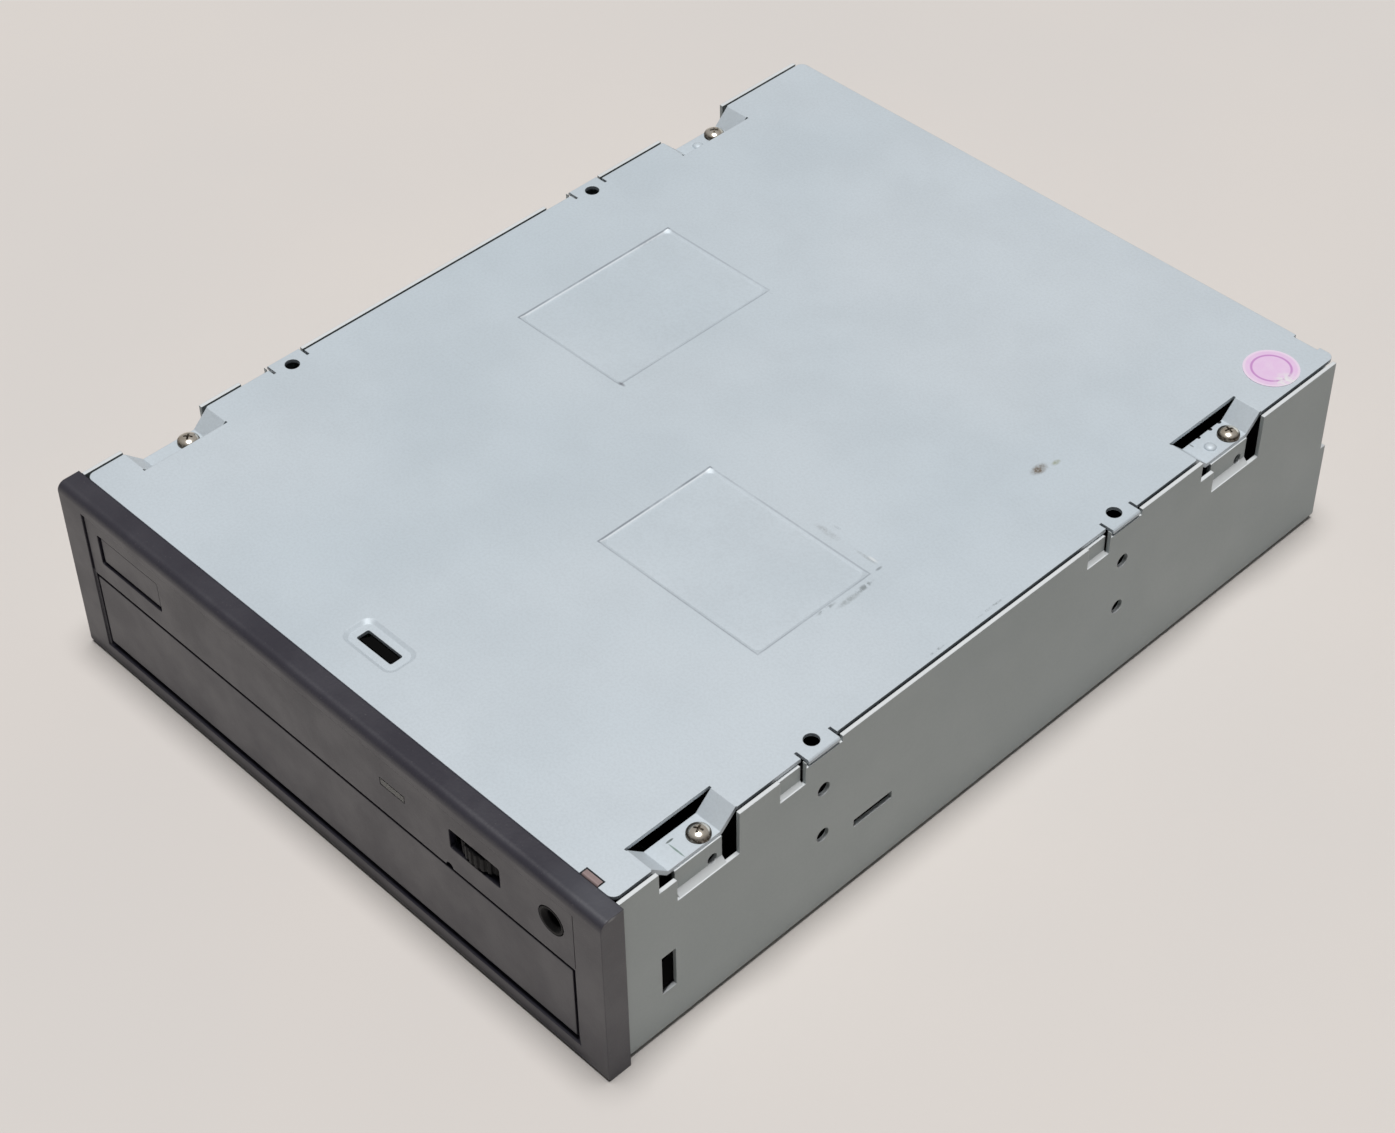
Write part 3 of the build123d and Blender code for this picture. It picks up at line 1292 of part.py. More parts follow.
# Spindle motor, shaft and turntable
with BuildPart() as spindle_motor:
    with BuildSketch(Plane.XY.offset(traverse_top)):
        with Locations((0, spindle_y)):
            Circle(motor_radius)
    extrude(amount=spindle_motor_height)
    chamfer(spindle_motor.edges().group_by(Axis.Z)[-1], 1.2)
    with Locations((0, spindle_y, traverse_top)):
        Cylinder(motor_shaft_radius + running_gap, spindle_motor_height - 1.5, align=BASE, mode=Mode.SUBTRACT)
finish(spindle_motor, "spindle_motor")
hub_top = turntable_height - hub_height
with BuildPart() as turntable:
    with BuildSketch(Plane.XZ.offset(-spindle_y)):
        with BuildLine():
            Polyline(
                (motor_shaft_radius, hub_top),
                (disc_hub_radius - 1.2, hub_top),
                (disc_hub_radius - 0.1, turntable_height - 0.6),
                (disc_hub_radius - 0.1, turntable_height),
                (turntable_radius, turntable_height),
                (turntable_radius, turntable_height + turntable_flange),
                (hub_boss_radius, turntable_height + turntable_flange),
                (hub_boss_radius, traverse_top - 0.3),
                (motor_shaft_radius, traverse_top - 0.3),
                close=True,
            )
        make_face()
    revolve(axis=Axis((0, spindle_y, 0), (0, 0, 1)))
finish(turntable, "turntable")
with BuildPart() as spindle_shaft:
    with BuildSketch(Plane.XY.offset(hub_top)):
        with Locations((0, spindle_y)):
            Circle(motor_shaft_radius)
    extrude(amount=traverse_top + spindle_motor_height - 3.0 - hub_top)
finish(spindle_shaft, "spindle_shaft")

# Pickup sled on the rods, with the finger that follows the lead screw
sled_y = inside(sled_start + sled_length / 2)
lens_y = inside(sled_start + lens_offset)
nut_floor = lead_screw_height + lead_screw_radius + running_gap
with BuildPart() as pickup_sled:
    with BuildSketch(Plane.XY.offset(sled_floor)):
        with Locations((0, sled_y)):
            Rectangle(2 * sled_half_width, sled_length)
            with Locations((0, -sled_length / 2)):
                Rectangle(2 * motor_radius + 3.0, 2 * sled_nose_cut, mode=Mode.SUBTRACT)
    extrude(amount=sled_height)
    with BuildSketch(Plane.XY.offset(sled_floor - sled_tower)):
        with Locations((0, lens_y)):
            RectangleRounded(sled_tower_size[0], sled_tower_size[1], 2.0)
    extrude(amount=sled_tower + 1.0)
    with BuildSketch(Plane.XY.offset(sled_floor - sled_tower)):
        with Locations((0, lens_y)):
            RectangleRounded(lens_holder_size[0] + 1.6, lens_holder_size[1] + 1.6, 0.8)
    extrude(amount=sled_tower + 2.0, mode=Mode.SUBTRACT)
    with BuildSketch(Plane.XY.offset(sled_floor + sled_height)):
        with Locations((sled_half_width - nut_foot_width / 2, sled_y)):
            Rectangle(nut_foot_width, nut_length)
    extrude(amount=nut_floor - sled_floor - sled_height)
    with BuildSketch(Plane.XZ.offset(-(sled_y + sled_length))):
        with Locations((-rod_across, rod_height), (rod_across, rod_height)):
            Circle(rod_radius + running_gap)
        with Locations((rod_across + rod_radius, rod_height)):
            Rectangle(4 * rod_radius, 2 * (rod_radius + running_gap))
    extrude(amount=2 * sled_length, mode=Mode.SUBTRACT)
finish(pickup_sled, "pickup_sled")
nut_reach = screw_across_traverse + 2 * lead_screw_radius - sled_half_width + nut_foot_width
with BuildPart() as sled_nut:
    with BuildSketch(Plane.XY.offset(nut_floor)):
        with Locations((sled_half_width - nut_foot_width + nut_reach / 2, sled_y)):
            Rectangle(nut_reach, nut_length)
        with Locations((sled_half_width - nut_foot_width / 2, sled_y)):
            Circle(screw_hole_radius, mode=Mode.SUBTRACT)
    extrude(amount=nut_thickness)
finish(sled_nut, "sled_nut")
with BuildPart() as lens_holder:
    with BuildSketch(Plane.XY.offset(lens_height)):
        with Locations((0, lens_y)):
            RectangleRounded(lens_holder_size[0], lens_holder_size[1], 0.8)
            Circle(lens_radius, mode=Mode.SUBTRACT)
    extrude(amount=lens_holder_height)
finish(lens_holder, "lens_holder")
with BuildPart() as lens:
    with BuildSketch(Plane.XZ.offset(-lens_y)):
        with BuildLine():
            lens_edge = Line((lens_radius - 0.02, lens_height + 0.5), (lens_radius - 0.02, lens_height + 1.3))
            lens_foot = Line(lens_edge @ 1, (0, lens_height + 1.3))
            lens_axis = Line(lens_foot @ 1, (0, lens_height + 0.1))
            ThreePointArc(lens_axis @ 1, (lens_radius * 0.6, lens_height + 0.25), lens_edge @ 0)
        make_face()
    revolve(axis=Axis((0, lens_y, 0), (0, 0, 1)))
finish(lens, "lens")

# Sled motor and lead screw
screw_start = opening_start + 2.0
screw_end = opening_end - sled_motor_length
with BuildPart() as lead_screw:
    with BuildSketch(Plane.XZ.offset(-(screw_end + 3.0))):
        with Locations((screw_across_traverse, lead_screw_height)):
            Circle(lead_screw_radius)
    extrude(amount=screw_end + 3.0 - screw_start)
finish(lead_screw, "lead_screw")
with BuildPart() as sled_motor:
    with BuildSketch(Plane.XZ.offset(-(screw_end + sled_motor_length))):
        with Locations((screw_across_traverse, lead_screw_height)):
            Circle(sled_motor_radius)
    extrude(amount=sled_motor_length)
    with BuildSketch(Plane.XZ.offset(-screw_end)):
        with Locations((screw_across_traverse, lead_screw_height)):
            Circle(lead_screw_radius + running_gap)
    extrude(amount=-4.0, mode=Mode.SUBTRACT)
    with BuildSketch(Plane.YZ.offset(screw_across_traverse - 2.0)):
        with BuildLine():
            Polyline(
                (screw_end + 3.0, lead_screw_height + sled_motor_radius - 0.4),
                (screw_end - 0.4, lead_screw_height + sled_motor_radius + 0.4),
                (screw_start - 1.2, lead_screw_height + sled_motor_radius + 0.4),
                (screw_start - 1.2, lead_screw_height - 2.0),
            )
        trace(line_width=sheet)
    extrude(amount=4.0)
    with BuildSketch(Plane.XZ.offset(-(screw_start + 2.0))):
        with Locations((screw_across_traverse, lead_screw_height)):
            Circle(lead_screw_radius + running_gap)
    extrude(amount=1.0 + sheet, mode=Mode.SUBTRACT)
finish(sled_motor, "sled_motor")

# Clamp bridge with its puck
bridge_rib_across = bridge_half_length - bridge_rib_inset - bridge_rib_length / 2 + 1.0
with BuildPart() as clamp_bridge:
    with BuildSketch(Plane.XY.offset(bridge_floor)):
        with Locations((0, spindle_y)):
            RectangleRounded(2 * bridge_half_length, bridge_width, 3.0)
            Circle(clamp_neck_radius + 0.5, mode=Mode.SUBTRACT)
            with GridLocations(2 * bridge_screw_across, 2 * bridge_screw_offset, 2, 2):
                Circle(screw_hole_radius, mode=Mode.SUBTRACT)
    extrude(amount=bridge_thickness)
    with BuildSketch(Plane.XZ.offset(-(spindle_y + bridge_width / 2 - 4.0))):
        with Locations((0, bridge_floor - 0.8)):
            with GridLocations(2 * bridge_rib_across, 0, 2, 1):
                Rectangle(bridge_rib_length, bridge_thickness, align=LOW)
    extrude(amount=bridge_width - 8.0)
    with BuildSketch(Plane.XZ.offset(-(spindle_y + bridge_width / 2 - 4.8))):
        with Locations((0, bridge_floor)):
            with GridLocations(2 * bridge_rib_across, 0, 2, 1):
                Rectangle(bridge_rib_length - 2 * bridge_rib_wall, bridge_thickness + 0.4, align=LOW)
    extrude(amount=bridge_width - 9.6, mode=Mode.SUBTRACT)
finish(clamp_bridge, "clamp_bridge")
with BuildPart() as bridge_screws:
    with BuildSketch(Plane.XY.offset(bridge_floor - screw_head_height)):
        with Locations((0, spindle_y)):
            with GridLocations(2 * bridge_screw_across, 2 * bridge_screw_offset, 2, 2):
                Circle(screw_head_radius - 0.3)
    extrude(amount=screw_head_height)
    with BuildSketch(Plane.XY.offset(bridge_floor)):
        with Locations((0, spindle_y)):
            with GridLocations(2 * bridge_screw_across, 2 * bridge_screw_offset, 2, 2):
                Circle(damper_screw_radius)
    extrude(amount=bridge_thickness + 4.0)
finish(bridge_screws, "bridge_screws")
clamp_face = turntable_height - disc_thickness - 0.1
with BuildPart() as clamp_puck:
    with BuildSketch(Plane.XZ.offset(-spindle_y)):
        with BuildLine():
            Polyline(
                (0, bridge_floor - 0.3 - clamp_flange_height),
                (clamp_flange_radius, bridge_floor - 0.3 - clamp_flange_height),
                (clamp_flange_radius, bridge_floor - 0.3),
                (clamp_neck_radius, bridge_floor - 0.3),
                (clamp_neck_radius, bridge_floor + bridge_thickness + 0.3),
                (clamp_body_radius, bridge_floor + bridge_thickness + 0.3),
                (clamp_body_radius, clamp_face),
                (disc_hub_radius + 0.7, clamp_face),
                (disc_hub_radius - 0.2, hub_top - 0.8),
                (0, hub_top - 0.8),
                close=True,
            )
        make_face()
    revolve(axis=Axis((0, spindle_y, 0), (0, 0, 1)))
finish(clamp_puck, "clamp_puck")

# Main board with its chips, and the sockets at the rear
main_board_length = main_board_end - main_board_start
main_board_y = inside((main_board_start + main_board_end) / 2)
with BuildPart() as main_board:
    with BuildSketch(Plane.XY.offset(board_floor)):
        with Locations((0, main_board_y)):
            Rectangle(main_board_width, main_board_length)
        with Locations((0, inside(rear_notch_start + rear_notch_length / 2))):
            with GridLocations(2 * board_notch_across, 0, 2, 1):
                Rectangle(board_notch_width, rear_notch_length, mode=Mode.SUBTRACT)
        with Locations((0, main_post_y)):
            with GridLocations(2 * main_post_across, main_post_pitch, 2, 2):
                Circle(pilot_radius, mode=Mode.SUBTRACT)
    extrude(amount=board_thickness)
finish(main_board, "main_board")
with BuildPart() as board_chips:
    with BuildSketch(Plane.XY.offset(board_top)):
        for across, offset, width, length in chip_places:
            with Locations((across, main_board_y + offset)):
                Rectangle(width, length)
    extrude(amount=chip_height)
finish(board_chips, "board_chips")
with BuildPart() as board_screws:
    with BuildSketch(Plane.XY.offset(board_top)):
        with Locations((0, inside(front_board_start + front_board_depth - front_post_margin))):
            with GridLocations(2 * front_post_across, 0, 2, 1):
                Circle(screw_head_radius - 0.3)
        with Locations((0, main_post_y)):
            with GridLocations(2 * main_post_across, main_post_pitch, 2, 2):
                Circle(screw_head_radius - 0.3)
    extrude(amount=screw_head_height)
    with BuildSketch(Plane.XY.offset(board_top)):
        with Locations((0, inside(front_board_start + front_board_depth - front_post_margin))):
            with GridLocations(2 * front_post_across, 0, 2, 1):
                Circle(damper_screw_radius)
        with Locations((0, main_post_y)):
            with GridLocations(2 * main_post_across, main_post_pitch, 2, 2):
                Circle(damper_screw_radius)
    extrude(amount=-screw_length)
finish(board_screws, "board_screws")
socket_mouth = plate_rear - sheet + 0.6
sockets = (
    ("ide_header", ide_across, ide_width, 20, 2, pin_pitch, 0.32, 1.2),
    ("power_socket", power_across, power_width, 4, 1, 2 * pin_pitch, 1.05, 1.4),
    ("audio_socket", audio_across, audio_width, 6, 1, pin_pitch, 0.32, 1.0),
    ("jumper_block", jumper_across, jumper_width, 5, 2, pin_pitch, 0.32, 0.6),
)
for name, across, width, columns, rows, pitch, pin_radius, wall in sockets:
    with BuildPart() as socket:
        with BuildSketch(Plane.XZ.offset(-socket_mouth)):
            with Locations((across, socket_floor)):
                Rectangle(width, socket_depth, align=LOW)
        extrude(amount=socket_length)
        with BuildSketch(Plane.XZ.offset(-socket_mouth)):
            with Locations((across, socket_floor + wall)):
                Rectangle(width - 2 * wall, socket_depth - 2 * wall, align=LOW)
        extrude(amount=socket_length - 2.5, mode=Mode.SUBTRACT)
        with BuildSketch(Plane.XZ.offset(-(socket_mouth - 1.0))):
            with Locations((across, socket_floor + socket_depth / 2)):
                with GridLocations(pitch, pitch, columns, rows):
                    Rectangle(2 * pin_radius, 2 * pin_radius)
        extrude(amount=socket_length - 2.5)
    finish(socket, name)

# Ribbon cable between the main board and the lift frame's hinge end
with BuildPart() as ribbon_cable:
    with BuildSketch(Plane.YZ.offset(-ribbon_width / 2)):
        with BuildLine():
            FilletPolyline(
                (inside(ribbon_start), board_floor - 2.6),
                (inside(ribbon_start) - 14.0, board_floor - 2.6),
                (inside(ribbon_start) - 14.0, board_floor - 7.6),
                (inside(ribbon_start) - 2.0, board_floor - 7.6),
                radius=2.2,
            )
        trace(line_width=0.3)
    extrude(amount=ribbon_width)
finish(ribbon_cable, "ribbon_cable")
with BuildPart() as ribbon_socket:
    with BuildSketch(Plane.XY.offset(board_floor - 4.0)):
        with Locations((0, inside(ribbon_start) + 1.5)):
            Rectangle(ribbon_width + 4.0, 4.0)
    extrude(amount=4.0)
    with BuildSketch(Plane.XY.offset(board_floor - 2.8)):
        with Locations((0, inside(ribbon_start))):
            Rectangle(ribbon_width + 0.4, 4.0)
    extrude(amount=0.4, mode=Mode.SUBTRACT)
finish(ribbon_socket, "ribbon_socket")
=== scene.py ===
"""Looks of a CD-ROM drive that lies on its top cover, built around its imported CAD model."""

import json
import logging
import math
from dataclasses import dataclass, field
from enum import Enum
from functools import reduce
from typing import Sequence

import bmesh
import bpy
from mathutils import Matrix, Vector

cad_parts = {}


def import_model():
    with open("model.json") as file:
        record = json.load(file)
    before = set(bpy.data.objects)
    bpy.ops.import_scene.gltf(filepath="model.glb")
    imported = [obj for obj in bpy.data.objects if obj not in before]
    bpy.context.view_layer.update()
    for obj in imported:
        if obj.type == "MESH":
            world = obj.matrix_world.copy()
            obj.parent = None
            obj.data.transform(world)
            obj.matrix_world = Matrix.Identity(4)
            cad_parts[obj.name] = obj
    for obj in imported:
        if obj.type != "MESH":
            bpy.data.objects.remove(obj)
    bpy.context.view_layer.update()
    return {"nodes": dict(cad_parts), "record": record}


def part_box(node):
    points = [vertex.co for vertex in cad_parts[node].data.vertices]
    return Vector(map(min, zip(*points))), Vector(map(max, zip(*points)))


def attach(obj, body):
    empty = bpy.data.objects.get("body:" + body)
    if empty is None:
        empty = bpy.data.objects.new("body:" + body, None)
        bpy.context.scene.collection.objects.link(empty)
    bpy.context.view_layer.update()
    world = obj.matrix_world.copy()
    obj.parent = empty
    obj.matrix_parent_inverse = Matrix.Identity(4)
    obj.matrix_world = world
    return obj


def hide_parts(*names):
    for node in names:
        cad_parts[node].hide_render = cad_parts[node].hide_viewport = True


LOG = logging.getLogger("drive")
MM = 0.001
Colour = tuple[float, float, float]
Point = tuple[float, float, float]
Flat = tuple[float, float]
Output = bpy.types.NodeSocket
Feeds = dict[str | int, object]


def srgb(red: int, green: int, blue: int) -> Colour:
    """A display colour from 0 to 255 as scene-linear values.

    Args:
        red: Red of the display colour.
        green: Green of the display colour.
        blue: Blue of the display colour.

    Returns:
        The three scene-linear values.
    """
    def linear(value: int) -> float:
        """One channel as a scene-linear value."""
        share = value / 255
        return share / 12.92 if share <= 0.04045 else ((share + 0.055) / 1.055) ** 2.4

    return linear(red), linear(green), linear(blue)


def metres(point: Sequence[float]) -> Point:
    """Millimetres as metres."""
    return tuple(value * MM for value in point)


def stand(name: str, data: bpy.types.ID) -> bpy.types.Object:
    """Put a new object into the scene.

    Args:
        name: The object's name.
        data: Its mesh, camera or lamp.

    Returns:
        The object.
    """
    item = bpy.data.objects.new(name, data)
    bpy.context.scene.collection.objects.link(item)
    return item


def plain(item: bpy.types.Object) -> bpy.types.Mesh:
    """An object's mesh with its modifiers applied."""
    ready = item.evaluated_get(bpy.context.evaluated_depsgraph_get())
    return bpy.data.meshes.new_from_object(ready)


class Sum(Enum):
    """The sums that are used on values, by Blender's names."""

    ADD = "ADD"
    SUBTRACT = "SUBTRACT"
    MULTIPLY = "MULTIPLY"
    DIVIDE = "DIVIDE"
    ABSOLUTE = "ABSOLUTE"
    MAXIMUM = "MAXIMUM"


class Tree:
    """A node tree under construction."""

    def __init__(self, tree: bpy.types.NodeTree) -> None:
        """Work on a tree."""
        self.tree = tree

    def feed(self, socket: Output, value: object) -> None:
        """Link or set one input.

        Args:
            socket: The input to feed.
            value: Another node's output, a colour or a plain value.
        """
        if isinstance(value, bpy.types.NodeSocket):
            self.tree.links.new(value, socket)
        elif isinstance(value, tuple) and socket.type == "RGBA":
            socket.default_value = (*value[:3], 1.0)
        else:
            socket.default_value = value

    def add(self, kind: str, feeds: Feeds | None = None, **options: object) -> bpy.types.Node:
        """Add a node.

        Args:
            kind: Blender's name for the node type.
            feeds: Values or other nodes' outputs for its inputs, by name or number.
            **options: Attributes of the node.

        Returns:
            The new node.
        """
        node = self.tree.nodes.new(kind)
        for key, value in options.items():
            setattr(node, key, value)
        for key, value in (feeds or {}).items():
            self.feed(node.inputs[key], value)
        return node


class Recipe(Tree):
    """A material under construction, on Object coordinates."""

    def __init__(self, name: str) -> None:
        """Start a material with only its principled shader."""
        self.material = bpy.data.materials.new(name)
        self.material.use_nodes = True
        super().__init__(self.material.node_tree)
        self.shader = self.tree.nodes["Principled BSDF"]
        self.place = self.add("ShaderNodeTexCoord").outputs["Object"]

    def mapped(self, centre: Point, turn: float = 0.0, scale: Point = (1, 1, 1)) -> Output:
        """Object coordinates about a centre, turned about Z and scaled.

        Args:
            centre: The point that becomes the origin, in metres.
            turn: Angle about Z in degrees.
            scale: Factors along the turned axes.

        Returns:
            The mapped vector.
        """
        shift = self.add("ShaderNodeVectorMath", {0: self.place, 1: centre}, operation="SUBTRACT")
        feeds = {"Vector": shift.outputs[0], "Rotation": (0.0, 0.0, math.radians(turn)), "Scale": scale}
        return self.add("ShaderNodeMapping", feeds, vector_type="POINT").outputs[0]

    def noise(
        self,
        scale: float,
        detail: float = 3.0,
        rough: float = 0.55,
        stretch: Point = (1, 1, 1),
        turn: float = 0.0,
        shift: Point = (0.0, 0.0, 0.0),
    ) -> Output:
        """Noise from 0 to 1, by cells a metre, octaves and their strength, stretched, turned and moved."""
        feeds = {
            "Vector": self.mapped(shift, turn, stretch),
            "Scale": scale,
            "Detail": detail,
            "Roughness": rough,
        }
        return self.add("ShaderNodeTexNoise", feeds).outputs[0]

    def sum(self, operation: Sum, first: object, second: object = 0.0) -> Output:
        """A sum on two values."""
        return self.add("ShaderNodeMath", {0: first, 1: second}, operation=operation.value).outputs[0]

    def times(self, *factors: object) -> Output:
        """The product of all factors, in their order."""
        return reduce(lambda first, second: self.sum(Sum.MULTIPLY, first, second), factors)

    def between(
        self, value: object, low: float, high: float, start: object = 0.0, end: object = 1.0
    ) -> Output:
        """A value's smoothed place between two limits: start at the low one and end at the high one."""
        feeds = dict(enumerate((value, low, high, start, end)))
        return self.add("ShaderNodeMapRange", feeds, interpolation_type="SMOOTHSTEP").outputs[0]

    def uneven(self, scale: float, detail: float, value: float, less: float, more: float) -> Output:
        """A value that wanders with a noise, from less below it to more above it."""
        return self.between(self.noise(scale, detail, 0.6), 0.3, 0.7, value - less, value + more)

    def over(self, share: object, under: object, top: object) -> Output:
        """One colour over another, by the share of it that shows."""
        feeds = {0: share, 6: under, 7: top}
        return self.add("ShaderNodeMix", feeds, data_type="RGBA", blend_type="MIX").outputs[2]

    def axis(self, vector: Output, name: str) -> Output:
        """One component of a vector."""
        return self.add("ShaderNodeSeparateXYZ", {0: vector}).outputs[name]

    def length(self, vector: Output) -> Output:
        """The length of a vector."""
        return self.add("ShaderNodeVectorMath", {0: vector}, operation="LENGTH").outputs["Value"]

    def normal(self) -> Output:
        """The surface's own normal."""
        return self.add("ShaderNodeNewGeometry").outputs["Normal"]

    def rounded(self, radius: float) -> Output:
        """The normal with sharp edges rounded, by a radius in metres."""
        return self.add("ShaderNodeBevel", {"Radius": radius}, samples=4).outputs[0]

    def edge(self, radius: float) -> Output:
        """How near a sharp edge is, from 0 to about 1, for rubbed edges and painted highlights along them.

        Args:
            radius: How far the rubbing and the painted highlight reach, in metres.

        Returns:
            The nearness.
        """
        feeds = {0: self.rounded(radius), 1: self.normal()}
        turn = self.add("ShaderNodeVectorMath", feeds, operation="DOT_PRODUCT")
        return self.between(turn.outputs["Value"], 0.62, 0.98, 1.0, 0.0)

    def relief(self, height: object, depth: float, strength: float = 0.6, rounding: float = 0.0) -> None:
        """Give the surface a fine relief.

        Args:
            height: The relief, from 0 to 1.
            depth: Its depth in metres.
            strength: How much of it shows.
            rounding: How far sharp edges look rounded, in metres.
        """
        feeds = {"Strength": strength, "Distance": depth, "Height": height}
        if rounding:
            feeds["Normal"] = self.rounded(rounding)
        self.feed(self.shader.inputs["Normal"], self.add("ShaderNodeBump", feeds).outputs[0])

    def finish(self, **values: object) -> bpy.types.Material:
        """Set the shader's inputs by name, with spaces written as underscores.

        Args:
            **values: Inputs of the principled shader.

        Returns:
            The finished material.
        """
        for key, value in values.items():
            self.feed(self.shader.inputs[key.replace("_", " ")], value)
        return self.material


@dataclass(frozen=True)
class Mark:
    """A mark on a flat surface: a spot with a soft or sharp, whole or broken edge."""

    centre: Point
    size: Flat
    colour: Colour
    turn: float = 0.0
    strength: float = 0.8
    grain: float = 900.0
    soft: float = 0.75
    whole: float = 0.0
    reach: float = 1.25

    def lay(self, recipe: Recipe, under: object) -> Output:
        """Lay the mark over a colour.

        Args:
            recipe: The material under construction.
            under: The colour below.

        Returns:
            The colour with the mark on it.
        """
        scale = tuple(1 / (side * MM) for side in (*self.size, self.reach))
        spread = recipe.length(recipe.mapped(metres(self.centre), self.turn, scale))
        spread = recipe.times(recipe.between(spread, 1.0 - self.soft, 1.0, 1.0, 0.0), self.strength)
        if self.whole < 1.0:
            broken = recipe.between(recipe.noise(self.grain, 4.0, 0.7), 0.42, 0.6, self.whole, 1.0)
            spread = recipe.times(spread, broken)
        return recipe.over(spread, under, self.colour)


@dataclass(frozen=True)
class CreaseShadeAndHighlight:
    """A thin painted shade line round a pressed panel, stronger along one side, where a thin painted
    highlight joins it.
    """

    centre: Point
    size: Flat
    # Colour of the painted shade line.
    colour: Colour
    width: float = 0.3
    strength: float = 0.85
    # Colour and share of the painted highlight just inside the line.
    pale: Colour = (0.86, 0.89, 0.92)
    pale_strength: float = 0.5
    steps: tuple[float, float, float, float] = (0.1, 0.3, 0.6, 0.8)

    def lay(self, recipe: Recipe, under: object) -> Output:
        """Lay the line over a colour.

        Args:
            recipe: The material under construction.
            under: The colour below.

        Returns:
            The colour with the line on it.
        """
        place = recipe.mapped(metres(self.centre))
        sides = []
        for name, length in zip("XY", self.size):
            away = recipe.sum(Sum.ABSOLUTE, recipe.axis(place, name))
            sides.append(recipe.sum(Sum.SUBTRACT, away, length / 2 * MM))
        outside = recipe.sum(Sum.MAXIMUM, *sides)
        # The painted shade line along the panel's outline.
        line = recipe.between(recipe.sum(Sum.ABSOLUTE, outside), 0.0, self.width * MM, 1.0, 0.0)
        level = recipe.sum(Sum.ABSOLUTE, recipe.axis(place, "Z"))
        level = recipe.between(level, 0.5 * MM, 1.0 * MM, 1.0, 0.0)
        broken = recipe.between(recipe.noise(90.0, 3.0, 0.6), 0.3, 0.6, 0.35, 1.0)
        across = recipe.axis(place, "X")
        start, near, far, end = (-self.size[0] / 2 * MM + step * MM for step in self.steps)
        # The painted shade is stronger towards the panel's low X side.
        side = recipe.between(across, near, end, 1.0, 0.5)
        rise = recipe.between(across, start, near)
        fall = recipe.between(across, near, far, 1.0, 0.0)
        # A painted highlight just inside the low X side.
        inside = recipe.between(outside, -0.2 * MM, 0.0, 1.0, 0.0)
        inner = recipe.times(rise, side, fall, inside, self.pale_strength, level)
        pale = recipe.over(inner, under, self.pale)
        return recipe.over(recipe.times(line, level, broken, side, self.strength), pale, self.colour)


@dataclass(frozen=True)
class Sheet:
    """Zinc-coated steel sheet: cloudy and speckled, with rolled grain and handling marks, edges paler partly
    from rubbing and partly as a painted highlight, and painted light on upward faces where asked.
    """

    name: str
    colour: Colour
    cloud: Colour
    # Pale colour of the edges and, where asked, of upward faces: partly rubbed zinc, partly painted highlight
    # and painted light.
    edge: Colour
    metallic: float = 0.25
    roughness: float = 0.5
    # Share of the paler edges, partly rubbing and partly painted highlight.
    wear_and_sheen: float = 0.35
    # Share of painted light on upward faces, which take the edge colour.
    upper: float = 0.0
    marks: tuple[Mark | CreaseShadeAndHighlight, ...] = ()
    speck: Colour = (0.3, 0.32, 0.33)
    scratch: Colour = (0.42, 0.44, 0.45)

    def make(self) -> bpy.types.Material:
        """Build the material.

        Returns:
            The material.
        """
        recipe = Recipe(self.name)
        clouds = recipe.between(recipe.noise(14.0, 2.0, 0.5), 0.3, 0.75)
        colour = recipe.over(clouds, self.colour, self.cloud)
        specks = recipe.between(recipe.noise(1900.0, 2.0, 0.6), 0.35, 0.7)
        colour = recipe.over(recipe.times(specks, 0.1), colour, self.speck)
        scratch = recipe.noise(1500.0, 2.0, 0.5, (0.03, 1.0, 1.0), 24.0, (0.3, 0.1, 0.0))
        colour = recipe.over(recipe.times(recipe.between(scratch, 0.74, 0.8), 0.12), colour, self.scratch)
        # Paler edges: partly rubbed zinc, partly a painted highlight.
        worn = recipe.times(recipe.edge(0.35 * MM), self.wear_and_sheen)
        # Painted light: upward faces take the pale edge colour.
        if self.upper:
            level = recipe.between(recipe.axis(recipe.normal(), "Z"), 0.4, 0.8, 0.0, self.upper)
            worn = recipe.sum(Sum.MAXIMUM, worn, level)
        colour = recipe.over(worn, colour, self.edge)
        for mark in self.marks:
            colour = mark.lay(recipe, colour)
        rolled = recipe.noise(700.0, 3.0, 0.6, (1.0, 0.05, 1.0))
        recipe.relief(recipe.sum(Sum.ADD, rolled, recipe.times(specks, 0.5)), 0.03 * MM, 0.3, 0.25 * MM)
        rough = recipe.uneven(60.0, 4.0, self.roughness, 0.05, 0.06)
        return recipe.finish(Base_Color=colour, Roughness=rough, Metallic=self.metallic)


